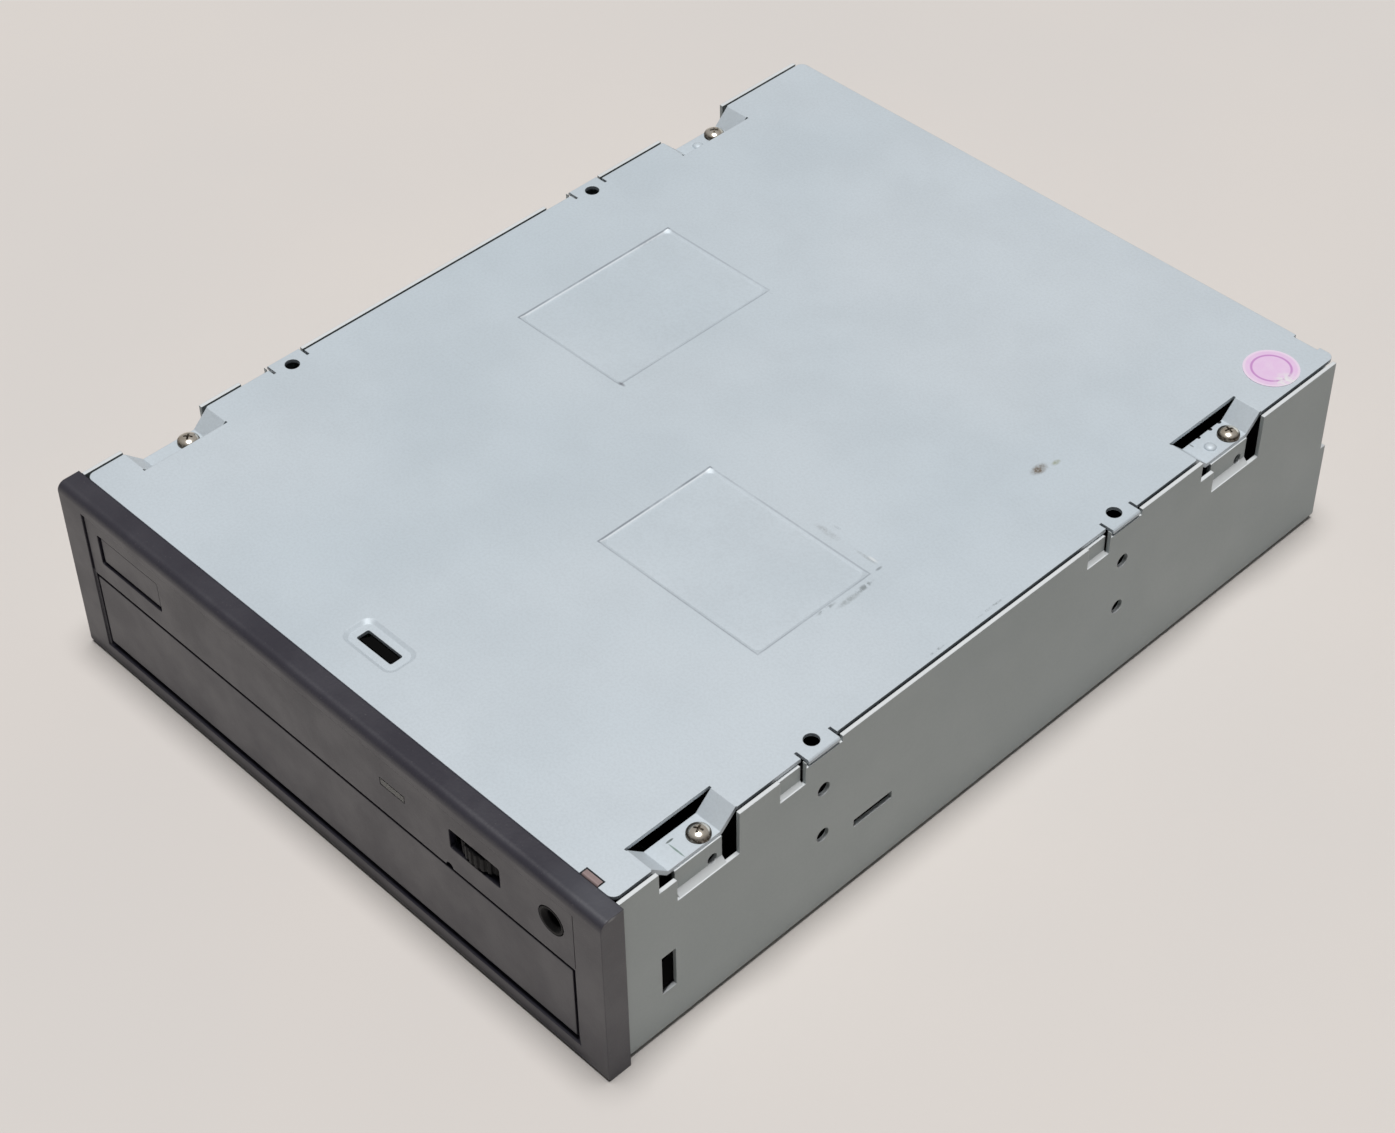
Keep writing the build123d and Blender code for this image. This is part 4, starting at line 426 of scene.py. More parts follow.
@dataclass(frozen=True)
class Moulding:
    """Moulded plastic with a spark-eroded texture, a little dusty, and paler along its edges, partly rubbed
    and partly a painted highlight.

    Where a foot height is set, its gloss falls towards the bottom and drops near the floor, a painted shade.
    From a given place along Y on, in metres, it is painted black as shade.
    """

    name: str
    colour: Colour
    worn: Colour
    roughness: float = 0.5
    grain: float = 1500.0
    depth: float = 0.05
    dust: float = 0.1
    wear_and_sheen: float = 0.5
    patchy: float = 0.35
    gloss: float = 0.5
    # These four set a painted shade: the height where gloss drops near the floor, over what height, up to
    # where gloss falls towards the bottom, and the X span where the drop ends.
    foot: float = 0.0
    foot_height: float = 1.8
    front_height: float = 24.0
    foot_end: Flat = (64.0, 72.0)
    # Painted shade: from this place along Y on, in metres, the plastic is painted black with no gloss.
    painted_shade_from: float = 0.0
    marks: tuple[Mark, ...] = ()
    dust_colour: Colour = (0.5, 0.48, 0.46)
    # Colour of the painted shade behind the bezel's back.
    painted_shade_colour: Colour = (0.006, 0.006, 0.006)

    def make(self) -> bpy.types.Material:
        """Build the material.

        Returns:
            The material.
        """
        recipe = Recipe(self.name)
        grain = recipe.noise(self.grain, 4.0, 0.65)
        patches = recipe.between(recipe.noise(35.0, 4.0, 0.6), 0.42, 0.72)
        colour = recipe.over(recipe.times(patches, self.patchy), self.colour, self.worn)
        colour = recipe.over(recipe.between(grain, 0.35, 0.65, 0.0, 0.22), colour, self.worn)
        flecks = recipe.between(recipe.noise(2300.0, 2.0, 0.5, shift=(0.2, 0.4, 0.1)), 0.68, 0.78)
        colour = recipe.over(recipe.times(flecks, self.dust), colour, self.dust_colour)
        # Paler edges: partly rubbed plastic, partly a painted highlight.
        if self.wear_and_sheen:
            worn = recipe.times(recipe.edge(0.5 * MM), recipe.between(grain, 0.3, 0.6, 0.3, 1.0), self.wear_and_sheen)
            colour = recipe.over(worn, colour, tuple(min(1.0, value * 1.8) for value in self.worn))
        for mark in self.marks:
            colour = mark.lay(recipe, colour)
        gloss = self.gloss
        # Painted shade: gloss falls towards the bottom and drops near the floor, except at the right end.
        if self.foot:
            height = recipe.axis(recipe.place, "Z")
            gloss = recipe.between(height, 0.0, self.front_height * MM, self.gloss * 0.82, self.gloss)
            low = recipe.between(height, self.foot * MM, (self.foot + self.foot_height) * MM, 0.3, 1.0)
            beside = recipe.between(recipe.axis(recipe.place, "X"), *metres(self.foot_end))
            gloss = recipe.times(gloss, recipe.sum(Sum.MAXIMUM, low, beside))
        # Painted shade: behind the given place along Y the plastic is painted black and loses its gloss.
        if self.painted_shade_from:
            end = self.painted_shade_from + 0.4 * MM
            unshaded = recipe.between(recipe.axis(recipe.place, "Y"), self.painted_shade_from, end, 1.0, 0.0)
            colour = recipe.over(unshaded, self.painted_shade_colour, colour)
            gloss = recipe.times(gloss, unshaded)
        recipe.relief(grain, self.depth * MM, 0.5, 0.3 * MM)
        rough = recipe.uneven(80.0, 3.0, self.roughness, 0.06, 0.06)
        return recipe.finish(Base_Color=colour, Roughness=rough, Specular_IOR_Level=gloss)


@dataclass(frozen=True)
class Turned:
    """Plated or plain steel with fine tool marks."""

    name: str
    colour: Colour
    stain: Colour
    metallic: float = 0.9
    roughness: float = 0.3

    def make(self) -> bpy.types.Material:
        """Build the material.

        Returns:
            The material.
        """
        recipe = Recipe(self.name)
        stain = recipe.between(recipe.noise(260.0, 4.0, 0.6), 0.45, 0.75)
        colour = recipe.over(recipe.times(stain, 0.6), self.colour, self.stain)
        recipe.relief(recipe.noise(3000.0, 2.0, 0.5), 0.02 * MM, 0.3)
        rough = recipe.uneven(500.0, 3.0, self.roughness, 0.08, 0.12)
        return recipe.finish(Base_Color=colour, Roughness=rough, Metallic=self.metallic)


@dataclass(frozen=True)
class Plated:
    """Bright plated steel, with a painted shade round a screw head's rim and in its cross recess where a mesh
    attribute says so.
    """

    name: str
    colour: Colour = (0.86, 0.82, 0.74)
    tint: Colour = (0.62, 0.52, 0.38)
    # Colour of the painted shade.
    rim_and_recess_shade: Colour = (0.045, 0.034, 0.024)

    def make(self) -> bpy.types.Material:
        """Build the material.

        Returns:
            The material.
        """
        recipe = Recipe(self.name)
        # Painted shade on screw heads, from the mesh attribute, broken by a noise.
        rim_and_recess_shade = recipe.add("ShaderNodeAttribute", attribute_name="rim_and_recess_shade").outputs["Fac"]
        share = recipe.times(rim_and_recess_shade, recipe.between(recipe.noise(1600.0, 3.0, 0.6), 0.3, 0.6, 0.7, 1.0))
        tint = recipe.over(recipe.between(recipe.noise(420.0), 0.4, 0.7, 0.0, 0.5), self.colour, self.tint)
        colour = recipe.over(share, tint, self.rim_and_recess_shade)
        recipe.relief(recipe.noise(2600.0, 2.0, 0.5), 0.01 * MM, 0.2)
        rough = recipe.between(share, 0.0, 1.0, 0.18, 0.5)
        return recipe.finish(Base_Color=colour, Roughness=rough, Metallic=0.95)


@dataclass(frozen=True)
class Rubber:
    """Black rubber with a bloom."""

    name: str
    colour: Colour = (0.018, 0.018, 0.019)
    bloom: Colour = (0.07, 0.07, 0.07)

    def make(self) -> bpy.types.Material:
        """Build the material.

        Returns:
            The material.
        """
        recipe = Recipe(self.name)
        bloom = recipe.between(recipe.noise(300.0, 4.0, 0.6), 0.4, 0.8)
        colour = recipe.over(recipe.times(bloom, 0.3), self.colour, self.bloom)
        recipe.relief(recipe.noise(2200.0), 0.05 * MM, 0.4)
        return recipe.finish(Base_Color=colour, Roughness=0.7)


@dataclass(frozen=True)
class Clear:
    """Clear moulded plastic or coated glass."""

    name: str
    tint: Colour
    coat: float = 0.0
    roughness: float = 0.12

    def make(self) -> bpy.types.Material:
        """Build the material.

        Returns:
            The material.
        """
        recipe = Recipe(self.name)
        rough = recipe.uneven(400.0, 3.0, self.roughness, 0.04, 0.08)
        through = {"Transmission_Weight": 0.85, "IOR": 1.49, "Coat_Weight": self.coat}
        return recipe.finish(Base_Color=self.tint, Roughness=rough, **through)


@dataclass(frozen=True)
class Board:
    """Green solder mask over copper tracks and pads."""

    name: str
    mask: Colour = (0.012, 0.105, 0.042)
    track: Colour = (0.035, 0.22, 0.085)
    pad: Colour = (0.55, 0.56, 0.54)
    pitch: float = 2.54

    def make(self) -> bpy.types.Material:
        """Build the material.

        Returns:
            The material.
        """
        recipe = Recipe(self.name)
        grid = {"Vector": recipe.place, "Scale": 1 / (self.pitch * MM)}
        rows = {**grid, "Mortar Size": 0.09, "Brick Width": 6.0, "Row Height": 0.5}
        shifts = {"offset": 0.37, "offset_frequency": 3, "squash": 0.6, "squash_frequency": 2}
        tracks = recipe.add("ShaderNodeTexBrick", rows, **shifts).outputs["Fac"]
        dots = recipe.add("ShaderNodeTexVoronoi", grid, feature="F1").outputs["Distance"]
        colour = recipe.over(tracks, self.mask, self.track)
        colour = recipe.over(recipe.between(dots, 0.1, 0.14, 1.0, 0.0), colour, self.pad)
        recipe.relief(tracks, 0.05 * MM, 0.5)
        return recipe.finish(Base_Color=colour, Roughness=0.35, Coat_Weight=0.3)


@dataclass(frozen=True)
class Ribbon:
    """Flat cable with its conductors showing through, one in each millimetre."""

    name: str
    colour: Colour = (0.62, 0.66, 0.7)
    conductor: Colour = (0.42, 0.47, 0.52)
    scale: float = 314.159

    def make(self) -> bpy.types.Material:
        """Build the material.

        Returns:
            The material.
        """
        recipe = Recipe(self.name)
        feeds = {"Vector": recipe.place, "Scale": self.scale}
        kind = {"wave_type": "BANDS", "bands_direction": "X", "wave_profile": "SIN"}
        wave = recipe.add("ShaderNodeTexWave", feeds, **kind)
        bands = recipe.between(wave.outputs["Fac"], 0.4, 0.6)
        recipe.relief(bands, 0.08 * MM, 0.5)
        return recipe.finish(Base_Color=recipe.over(bands, self.colour, self.conductor), Roughness=0.32)


@dataclass(frozen=True)
class Paper:
    """Printed round paper label: a pale rim, a thin ring and a worn side."""

    name: str
    centre: Point
    radius: float
    colour: Colour
    print_colour: Colour
    bare: Colour
    worn: Colour = (0.8, 0.79, 0.8)
    worn_offset: Flat = (4.6, -1.0)

    def spread(self, recipe: Recipe, centre: Point) -> Output:
        """The distance from a point on the label."""
        return recipe.length(recipe.mapped(metres(centre), 0.0, (1.0, 1.0, 0.0)))

    def make(self) -> bpy.types.Material:
        """Build the material.

        Returns:
            The material.
        """
        recipe = Recipe(self.name)
        share = recipe.sum(Sum.DIVIDE, self.spread(recipe, self.centre), self.radius * MM)
        paper = recipe.over(recipe.between(recipe.noise(500.0, 4.0, 0.6), 0.35, 0.7), self.colour, self.bare)
        paper = recipe.over(0.75, paper, self.colour)
        ring = (recipe.between(share, 0.64, 0.68), recipe.between(share, 0.72, 0.76, 1.0, 0.0))
        paper = recipe.over(recipe.times(*ring, 0.75), paper, self.print_colour)
        paper = recipe.over(recipe.times(recipe.between(share, 0.88, 0.95), 0.7), paper, self.bare)
        side = (self.centre[0] + self.worn_offset[0], self.centre[1] + self.worn_offset[1], 0.0)
        worn = recipe.between(self.spread(recipe, side), 0.8 * MM, 3.4 * MM, 1.0, 0.0)
        worn = recipe.times(worn, recipe.between(recipe.noise(1100.0, 3.0, 0.6), 0.3, 0.6))
        paper = recipe.over(worn, paper, self.worn)
        recipe.relief(recipe.noise(1500.0), 0.03 * MM, 0.4)
        return recipe.finish(Base_Color=paper, Roughness=0.6)


@dataclass
class Finishes:
    """All the drive's finishes, by the record's material slot."""

    made: dict[str, bpy.types.Material] = field(default_factory=dict)
    tab_drop: float = 3.4

    def __post_init__(self) -> None:
        """Make each finish once, with the marks, painted shade and highlights among them, in their places on
        the plate and the bezel.
        """
        low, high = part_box("inspection_disc")
        centre = (low + high) / 2 / MM
        plate_low, plate_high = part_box("bottom_plate")
        top = plate_high.z / MM
        brown = srgb(110, 98, 84)
        grey = srgb(138, 146, 150)
        # Black for the painted shade in the rear tabs' notches.
        black = (0.004, 0.004, 0.004)
        tab_top = top - self.tab_drop
        back = plate_low.y / MM

        def tab(across: float, along: float) -> Point:
            """A point on a sunken tab, by its distance behind the bezel."""
            return (across, back + along, tab_top)

        def plate(across: float, along: float) -> Point:
            """A point on the plate, by its distance behind the bezel."""
            return (across, back + along, top)

        # Colour of the painted shade round the pressed panels.
        line = srgb(108, 114, 124)
        marks = (
            CreaseShadeAndHighlight(plate(29.1, 69.3), (40.6, 28.4), line),
            CreaseShadeAndHighlight(plate(-34.9, 108.3), (29.1, 40.9), line, strength=0.75),
            Mark(plate(-49.2, 123.0), (0.9, 5.5), srgb(150, 157, 166), strength=0.5, soft=1.0, whole=0.4),
            Mark(plate(-20.2, 88.2), (1.3, 0.5), srgb(96, 96, 104), -30.0, 0.9, whole=0.7),
            Mark(plate(52.5, 125.9), (1.5, 2.6), brown, -8.0, 1.0, 1500.0, whole=0.5),
            Mark(plate(53.5, 129.6), (0.8, 1.4), srgb(150, 156, 132), -8.0, 0.8, 1500.0, whole=0.5),
            Mark(plate(51.0, 80.2), (0.8, 3.4), grey, 12.0, 0.9),
            Mark(plate(51.3, 76.0), (0.9, 3.8), srgb(160, 168, 172), -14.0, 0.8, whole=0.4),
            Mark(plate(50.0, 71.5), (0.6, 3.0), grey, 20.0, 0.8),
            Mark(plate(49.6, 85.6), (0.4, 1.1), srgb(98, 104, 108), 30.0, 0.9, whole=0.6),
            Mark(plate(46.0, 86.2), (3.6, 0.5), srgb(158, 164, 166), -8.0, 0.7, whole=0.4),
            Mark(plate(47.2, 86.6), (1.6, 0.4), srgb(226, 230, 232), -8.0, 0.9, whole=0.7),
            Mark(plate(36.5, 86.0), (4.2, 1.0), srgb(166, 172, 176), 6.0, 0.7, whole=0.3),
            Mark(plate(37.0, 88.2), (1.2, 0.4), grey, 10.0, 0.6),
            Mark(plate(70.3, 92.0), (0.4, 5.0), grey, 3.0, 0.8),
            Mark(plate(70.6, 78.0), (0.4, 3.0), grey, -3.0, 0.8),
            Mark(plate(-19.6, 128.5), (0.9, 0.5), grey, 20.0, 0.7),
            # A thin dark hooked line painted as the shade along a small pressed step on the front tab.
            Mark(tab(69.2, 16.3), (2.3, 0.22), srgb(112, 136, 128), -4.0, 0.85, soft=0.4, whole=0.8),
            Mark(tab(66.9, 16.9), (0.25, 1.0), srgb(60, 74, 70), -12.0, 0.9, soft=0.4, whole=0.8),
            # Black dots painted along the rear tabs' cut edges stand for notches whose insides lie in shade.
            Mark(tab(65.7, 157.0), (0.45, 0.45), black, 0.0, 1.0, soft=0.3, whole=1.0),
            Mark(tab(65.7, 160.4), (0.55, 0.5), black, 0.0, 1.0, soft=0.3, whole=1.0),
            Mark(tab(65.7, 163.2), (0.45, 0.55), black, 0.0, 1.0, soft=0.3, whole=1.0),
            Mark(tab(66.2, 154.2), (0.7, 0.22), grey, 0.0, 0.9, soft=0.4, whole=1.0),
            Mark(tab(-65.7, 157.0), (0.45, 0.45), black, 0.0, 1.0, soft=0.3, whole=1.0),
            Mark(tab(-65.7, 160.4), (0.5, 0.5), black, 0.0, 1.0, soft=0.3, whole=1.0),
        )
        # Colour of the painted shade along the bezel's foot.
        painted_foot_shade = (0.012, 0.012, 0.013)
        # On the bezel: painted shade along its foot, a paler patch on the top's right end, and a painted
        # highlight along its top right edge.
        bezel_marks_and_painted_light = (
            Mark((-4.0, back - 5.0, 1.3), (74.0, 6.0), painted_foot_shade, strength=0.6, soft=0.4, whole=1.0),
            Mark((70.0, back - 2.0, top), (16.0, 6.0), srgb(78, 80, 88), strength=0.6, soft=1.0, whole=1.0),
            Mark((74.4, back - 2.6, top - 0.5), (0.45, 2.6), srgb(208, 210, 214), soft=0.25, whole=0.6),
        )
        dark = (srgb(37, 36, 48), srgb(50, 48, 56), 0.38)
        shell = {"patchy": 0.15, "gloss": 0.75}
        # The bezel: painted shade near the floor and painted black behind its back.
        cover = {"foot": 1.4, "painted_shade_from": (back + 0.2) * MM, "marks": bezel_marks_and_painted_light}
        plates = (srgb(197, 208, 216), srgb(204, 213, 220), srgb(219, 224, 227))
        # The wall's zinc: its colour and cloud are a painted shaded tone of the plate's zinc, its edge colour
        # the painted lit tone for edges and upward faces.
        wall_shade_and_light = (srgb(164, 173, 174), srgb(171, 179, 179), srgb(222, 226, 228))
        paper = (srgb(229, 196, 230), srgb(186, 118, 190), srgb(236, 222, 236))
        finishes = (
            Sheet("pale_zinc", *plates, 0.15, marks=marks),
            # The wall: painted shade on its sides, painted light on its edges and upward faces.
            Sheet("zinc_wall", *wall_shade_and_light, 0.15, wear_and_sheen=0.6, upper=1.0),
            Plated("bright_steel"),
            Turned("steel", srgb(176, 178, 180), srgb(140, 140, 138), 0.8, 0.35),
            Moulding("bezel_plastic", *dark, **shell, **cover),
            Moulding("button_plastic", *dark, **shell),
            Moulding("black_plastic", (0.006, 0.006, 0.007), (0.011, 0.011, 0.012), 0.55, gloss=0.15),
            Moulding("tray_plastic", (0.028, 0.028, 0.03), (0.045, 0.045, 0.048), 0.42),
            Moulding("gear_plastic", (0.72, 0.71, 0.66), (0.64, 0.62, 0.55), 0.35, dust=0.0),
            Clear("clear_plastic", (0.3, 0.33, 0.3)),
            Board("board_green"),
            Moulding("connector_plastic", (0.012, 0.012, 0.013), (0.022, 0.022, 0.023), 0.4),
            Moulding("white_connector", (0.72, 0.7, 0.62), (0.64, 0.61, 0.52), 0.42, dust=0.0),
            Rubber("rubber"),
            Moulding("chip", (0.014, 0.014, 0.016), (0.022, 0.022, 0.024), 0.4, dust=0.05),
            Turned("copper", srgb(146, 128, 127), srgb(120, 104, 102), 0.3, 0.5),
            Turned("gold", srgb(232, 196, 120), srgb(190, 152, 88), 0.95, 0.25),
            Paper("pink_label", tuple(centre), (high.x - low.x) / 2 / MM, *paper),
            Ribbon("ribbon"),
            Clear("optic", (0.5, 0.56, 0.75), 1.0, 0.05),
        )
        for finish in finishes:
            self.made[finish.name] = finish.make()

    def dress(self, piece: bpy.types.Object, slot: str) -> None:
        """Give a piece the finish of a material slot all over."""
        piece.data.materials.clear()
        piece.data.materials.append(self.made[slot])


class Form:
    """Closed meshes in mesh code, in millimetres about the origin until they are done."""

    @staticmethod
    def done(name: str, work: bmesh.types.BMesh, place: Point = (0.0, 0.0, 0.0)) -> bpy.types.Mesh:
        """Turn a working mesh into a finished one in metres.

        Args:
            name: The mesh's name.
            work: The working mesh, in millimetres.
            place: Where it goes, in millimetres.

        Returns:
            The finished mesh.
        """
        bmesh.ops.remove_doubles(work, verts=work.verts, dist=1e-5)
        bmesh.ops.recalc_face_normals(work, faces=work.faces)
        bmesh.ops.translate(work, verts=work.verts, vec=Vector(place))
        bmesh.ops.scale(work, verts=work.verts, vec=(MM, MM, MM))
        mesh = bpy.data.meshes.new(name)
        work.to_mesh(mesh)
        work.free()
        return mesh

    @staticmethod
    def turn(work: bmesh.types.BMesh, angle: float, axis: str) -> None:
        """Turn a working mesh about an axis by an angle in degrees."""
        matrix = Matrix.Rotation(math.radians(angle), 3, axis)
        bmesh.ops.rotate(work, verts=work.verts, cent=(0, 0, 0), matrix=matrix)

    @staticmethod
    def lathe(profile: Sequence[Flat], sides: int = 40) -> bmesh.types.BMesh:
        """Turn a profile of radius and height about Z, closed where the radius is 0.

        Args:
            profile: Radius and height of each ring, from one end to the other.
            sides: Number of sides.

        Returns:
            The turned solid.
        """
        work = bmesh.new()
        rings = []
        for radius, height in profile:
            if radius == 0.0:
                rings.append([work.verts.new((0.0, 0.0, height))] * sides)
                continue
            turn = [2 * math.pi * side / sides for side in range(sides)]
            ring = [(radius * math.cos(at), radius * math.sin(at), height) for at in turn]
            rings.append([work.verts.new(place) for place in ring])
        for low, high in zip(rings, rings[1:]):
            for side in range(sides):
                after = (side + 1) % sides
                corners = [low[side], low[after], high[after], high[side]]
                kept = [vert for index, vert in enumerate(corners) if vert not in corners[:index]]
                work.faces.new(kept)
        return work

    @staticmethod
    def block(size: Point, centre: Point, bevel: float = 0.0) -> bmesh.types.BMesh:
        """A block, with bevelled edges where a bevel is given.

        Args:
            size: Its size along each axis.
            centre: Its centre.
            bevel: Width of its bevels.

        Returns:
            The block.
        """
        work = bmesh.new()
        bmesh.ops.create_cube(work, size=1.0)
        bmesh.ops.scale(work, verts=work.verts, vec=size)
        bmesh.ops.translate(work, verts=work.verts, vec=centre)
        if bevel:
            bmesh.ops.bevel(work, geom=work.edges, offset=bevel, segments=2, profile=0.5, affect="EDGES")
        return work

    @staticmethod
    def prism(outline: Sequence[Flat], start: float, end: float) -> bmesh.types.BMesh:
        """An outline in X and Z drawn out along Y.

        Args:
            outline: X and Z of each corner, in order.
            start: Where it starts along Y.
            end: Where it ends along Y.

        Returns:
            The prism.
        """
        work = bmesh.new()
        first, last = [[work.verts.new((x, y, z)) for x, z in outline] for y in (start, end)]
        work.faces.new(first)
        work.faces.new(last)
        for index in range(len(outline)):
            work.faces.new((first[index - 1], first[index], last[index], last[index - 1]))
        return work

    @staticmethod
    def rectangle(low: Flat, high: Flat, corner: float = 0.0) -> list[Flat]:
        """The outline of a rectangle whose two high corners may be cut off.

        Args:
            low: Its low corner.
            high: Its high corner.
            corner: How much is cut off.

        Returns:
            Its corners, in order.
        """
        if not corner:
            return [low, (high[0], low[1]), high, (low[0], high[1])]
        cut = [(high[0], high[1] - corner), (high[0] - corner, high[1])]
        return [low, (high[0], low[1]), *cut, (low[0] + corner, high[1]), (low[0], high[1] - corner)]

    @staticmethod
    def join(*parts: bmesh.types.BMesh) -> bmesh.types.BMesh:
        """Several working meshes as one.

        Args:
            *parts: The working meshes, which are used up.

        Returns:
            The whole.
        """
        whole = bmesh.new()
        for part in parts:
            mesh = bpy.data.meshes.new("part")
            part.to_mesh(mesh)
            part.free()
            whole.from_mesh(mesh)
            bpy.data.meshes.remove(mesh)
        return whole

    @staticmethod
    def cut(body: bpy.types.Mesh, tool: bpy.types.Mesh) -> bpy.types.Mesh:
        """One mesh with another cut out of it.

        Args:
            body: The mesh to cut.
            tool: The mesh that is cut out.

        Returns:
            What is left.
        """
        whole, cutter = stand("cut", body), stand("cut", tool)
        modifier = whole.modifiers.new("cut", "BOOLEAN")
        modifier.operation = "DIFFERENCE"
        modifier.solver = "EXACT"
        modifier.object = cutter
        result = plain(whole)
        bpy.data.objects.remove(whole)
        bpy.data.objects.remove(cutter)
        return result


class Pattern(Tree):
    """A Geometry Nodes tree under construction, with named inputs."""

    def __init__(self, name: str) -> None:
        """Start a tree that takes and gives geometry."""
        self.name = name
        super().__init__(bpy.data.node_groups.new(name, "GeometryNodeTree"))
        for way in ("INPUT", "OUTPUT"):
            self.tree.interface.new_socket("Geometry", in_out=way, socket_type="NodeSocketGeometry")
        self.inlet = self.tree.nodes.new("NodeGroupInput")
        self.values: dict[str, object] = {}

    def ask(self, name: str, kind: str, value: object) -> bpy.types.NodeSocket:
        """Add a named input.

        Args:
            name: The input's name.
            kind: Its socket type without the common prefix, such as Float.
            value: What it is set to.

        Returns:
            The socket inside the tree.
        """
        item = self.tree.interface.new_socket(name, in_out="INPUT", socket_type="NodeSocket" + kind)
        self.values[item.identifier] = value
        return self.inlet.outputs[name]

    def grow(self, geometry: Output, start: bpy.types.Mesh, material: bpy.types.Material) -> bpy.types.Mesh:
        """Close the tree, run it on a mesh and return the plain result.

        Args:
            geometry: The tree's last output.
            start: The mesh that the tree starts from.
            material: The finish of the result.

        Returns:
            The finished mesh.
        """
        real = self.add("GeometryNodeRealizeInstances", {"Geometry": geometry})
        feeds = {"Geometry": real.outputs[0], "Material": self.ask("Finish", "Material", material)}
        dressed = self.add("GeometryNodeSetMaterial", feeds)
        self.add("NodeGroupOutput", {0: dressed.outputs[0]})
        carrier = stand(self.name, start)
        modifier = carrier.modifiers.new(self.name, "NODES")
        modifier.node_group = self.tree
        for identifier, value in self.values.items():
            modifier[identifier] = value
        mesh = plain(carrier)
        bpy.data.objects.remove(carrier)
        return mesh


@dataclass
class Repeated:
    """One small form repeated at given places, turned at random where asked."""

    name: str
    form: bpy.types.Mesh
    places: Sequence[Point]
    body: str
    slot: str
    turns: Sequence[float] = ()
    loose: float = 0.0
    seed: int = 7
    replaces: tuple[str, ...] = ()
    smooth: float = 35.0
    finish: str = ""

    def build(self, finishes: Finishes) -> None:
        """Make the repeated piece, riding on its body.

        Args:
            finishes: The finishes to take from.
        """
        points = bpy.data.meshes.new(self.name + "_places")
        points.from_pydata([metres(place) for place in self.places], [], [])
        turns = points.attributes.new("turn", "FLOAT", "POINT")
        for item, angle in zip(turns.data, self.turns):
            item.value = math.radians(angle)
        holder = stand(self.name + "_form", self.form)
        pattern = Pattern(self.name)
        limit = pattern.ask("Loose", "Float", math.radians(self.loose))
        seed = pattern.ask("Seed", "Int", self.seed)
        chance = pattern.add("FunctionNodeRandomValue", {3: limit, "Seed": seed}, data_type="FLOAT")
        stated = pattern.add("GeometryNodeInputNamedAttribute", {"Name": "turn"}, data_type="FLOAT")
        angle = pattern.add("ShaderNodeMath", {0: chance.outputs[1], 1: stated.outputs[0]}, operation="ADD")
        turned = pattern.add("ShaderNodeCombineXYZ", {"Z": angle.outputs[0]})
        source = pattern.add("GeometryNodeObjectInfo", {"Object": pattern.ask("Form", "Object", holder)})
        feeds = {
            "Points": pattern.inlet.outputs[0],
            "Instance": source.outputs["Geometry"],
            "Rotation": turned.outputs[0],
        }
        copies = pattern.add("GeometryNodeInstanceOnPoints", feeds)
        mesh = pattern.grow(copies.outputs[0], points, finishes.made[self.finish or self.slot])
        bpy.data.objects.remove(holder)
        place_piece(self.name, mesh, self.body, self.replaces, self.smooth)


def place_piece(
    name: str,
    mesh: bpy.types.Mesh,
    body: str,
    replaces: tuple[str, ...] = (),
    smooth: float = 35.0,
) -> None:
    """Put a finished mesh into the scene.

    Args:
        name: The piece's name.
        mesh: Its mesh, in place, with its finish.
        body: The body it rides on.
        replaces: The CAD nodes that it stands for.
        smooth: Edges flatter than this many degrees are shaded smooth.
    """
    piece = stand(name, mesh)
    mesh.shade_smooth()
    mesh.set_sharp_from_angle(angle=math.radians(smooth))
    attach(piece, body)
    if replaces:
        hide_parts(*replaces)
    LOG.info("%s: %d triangles", name, sum(len(face.vertices) - 2 for face in mesh.polygons))


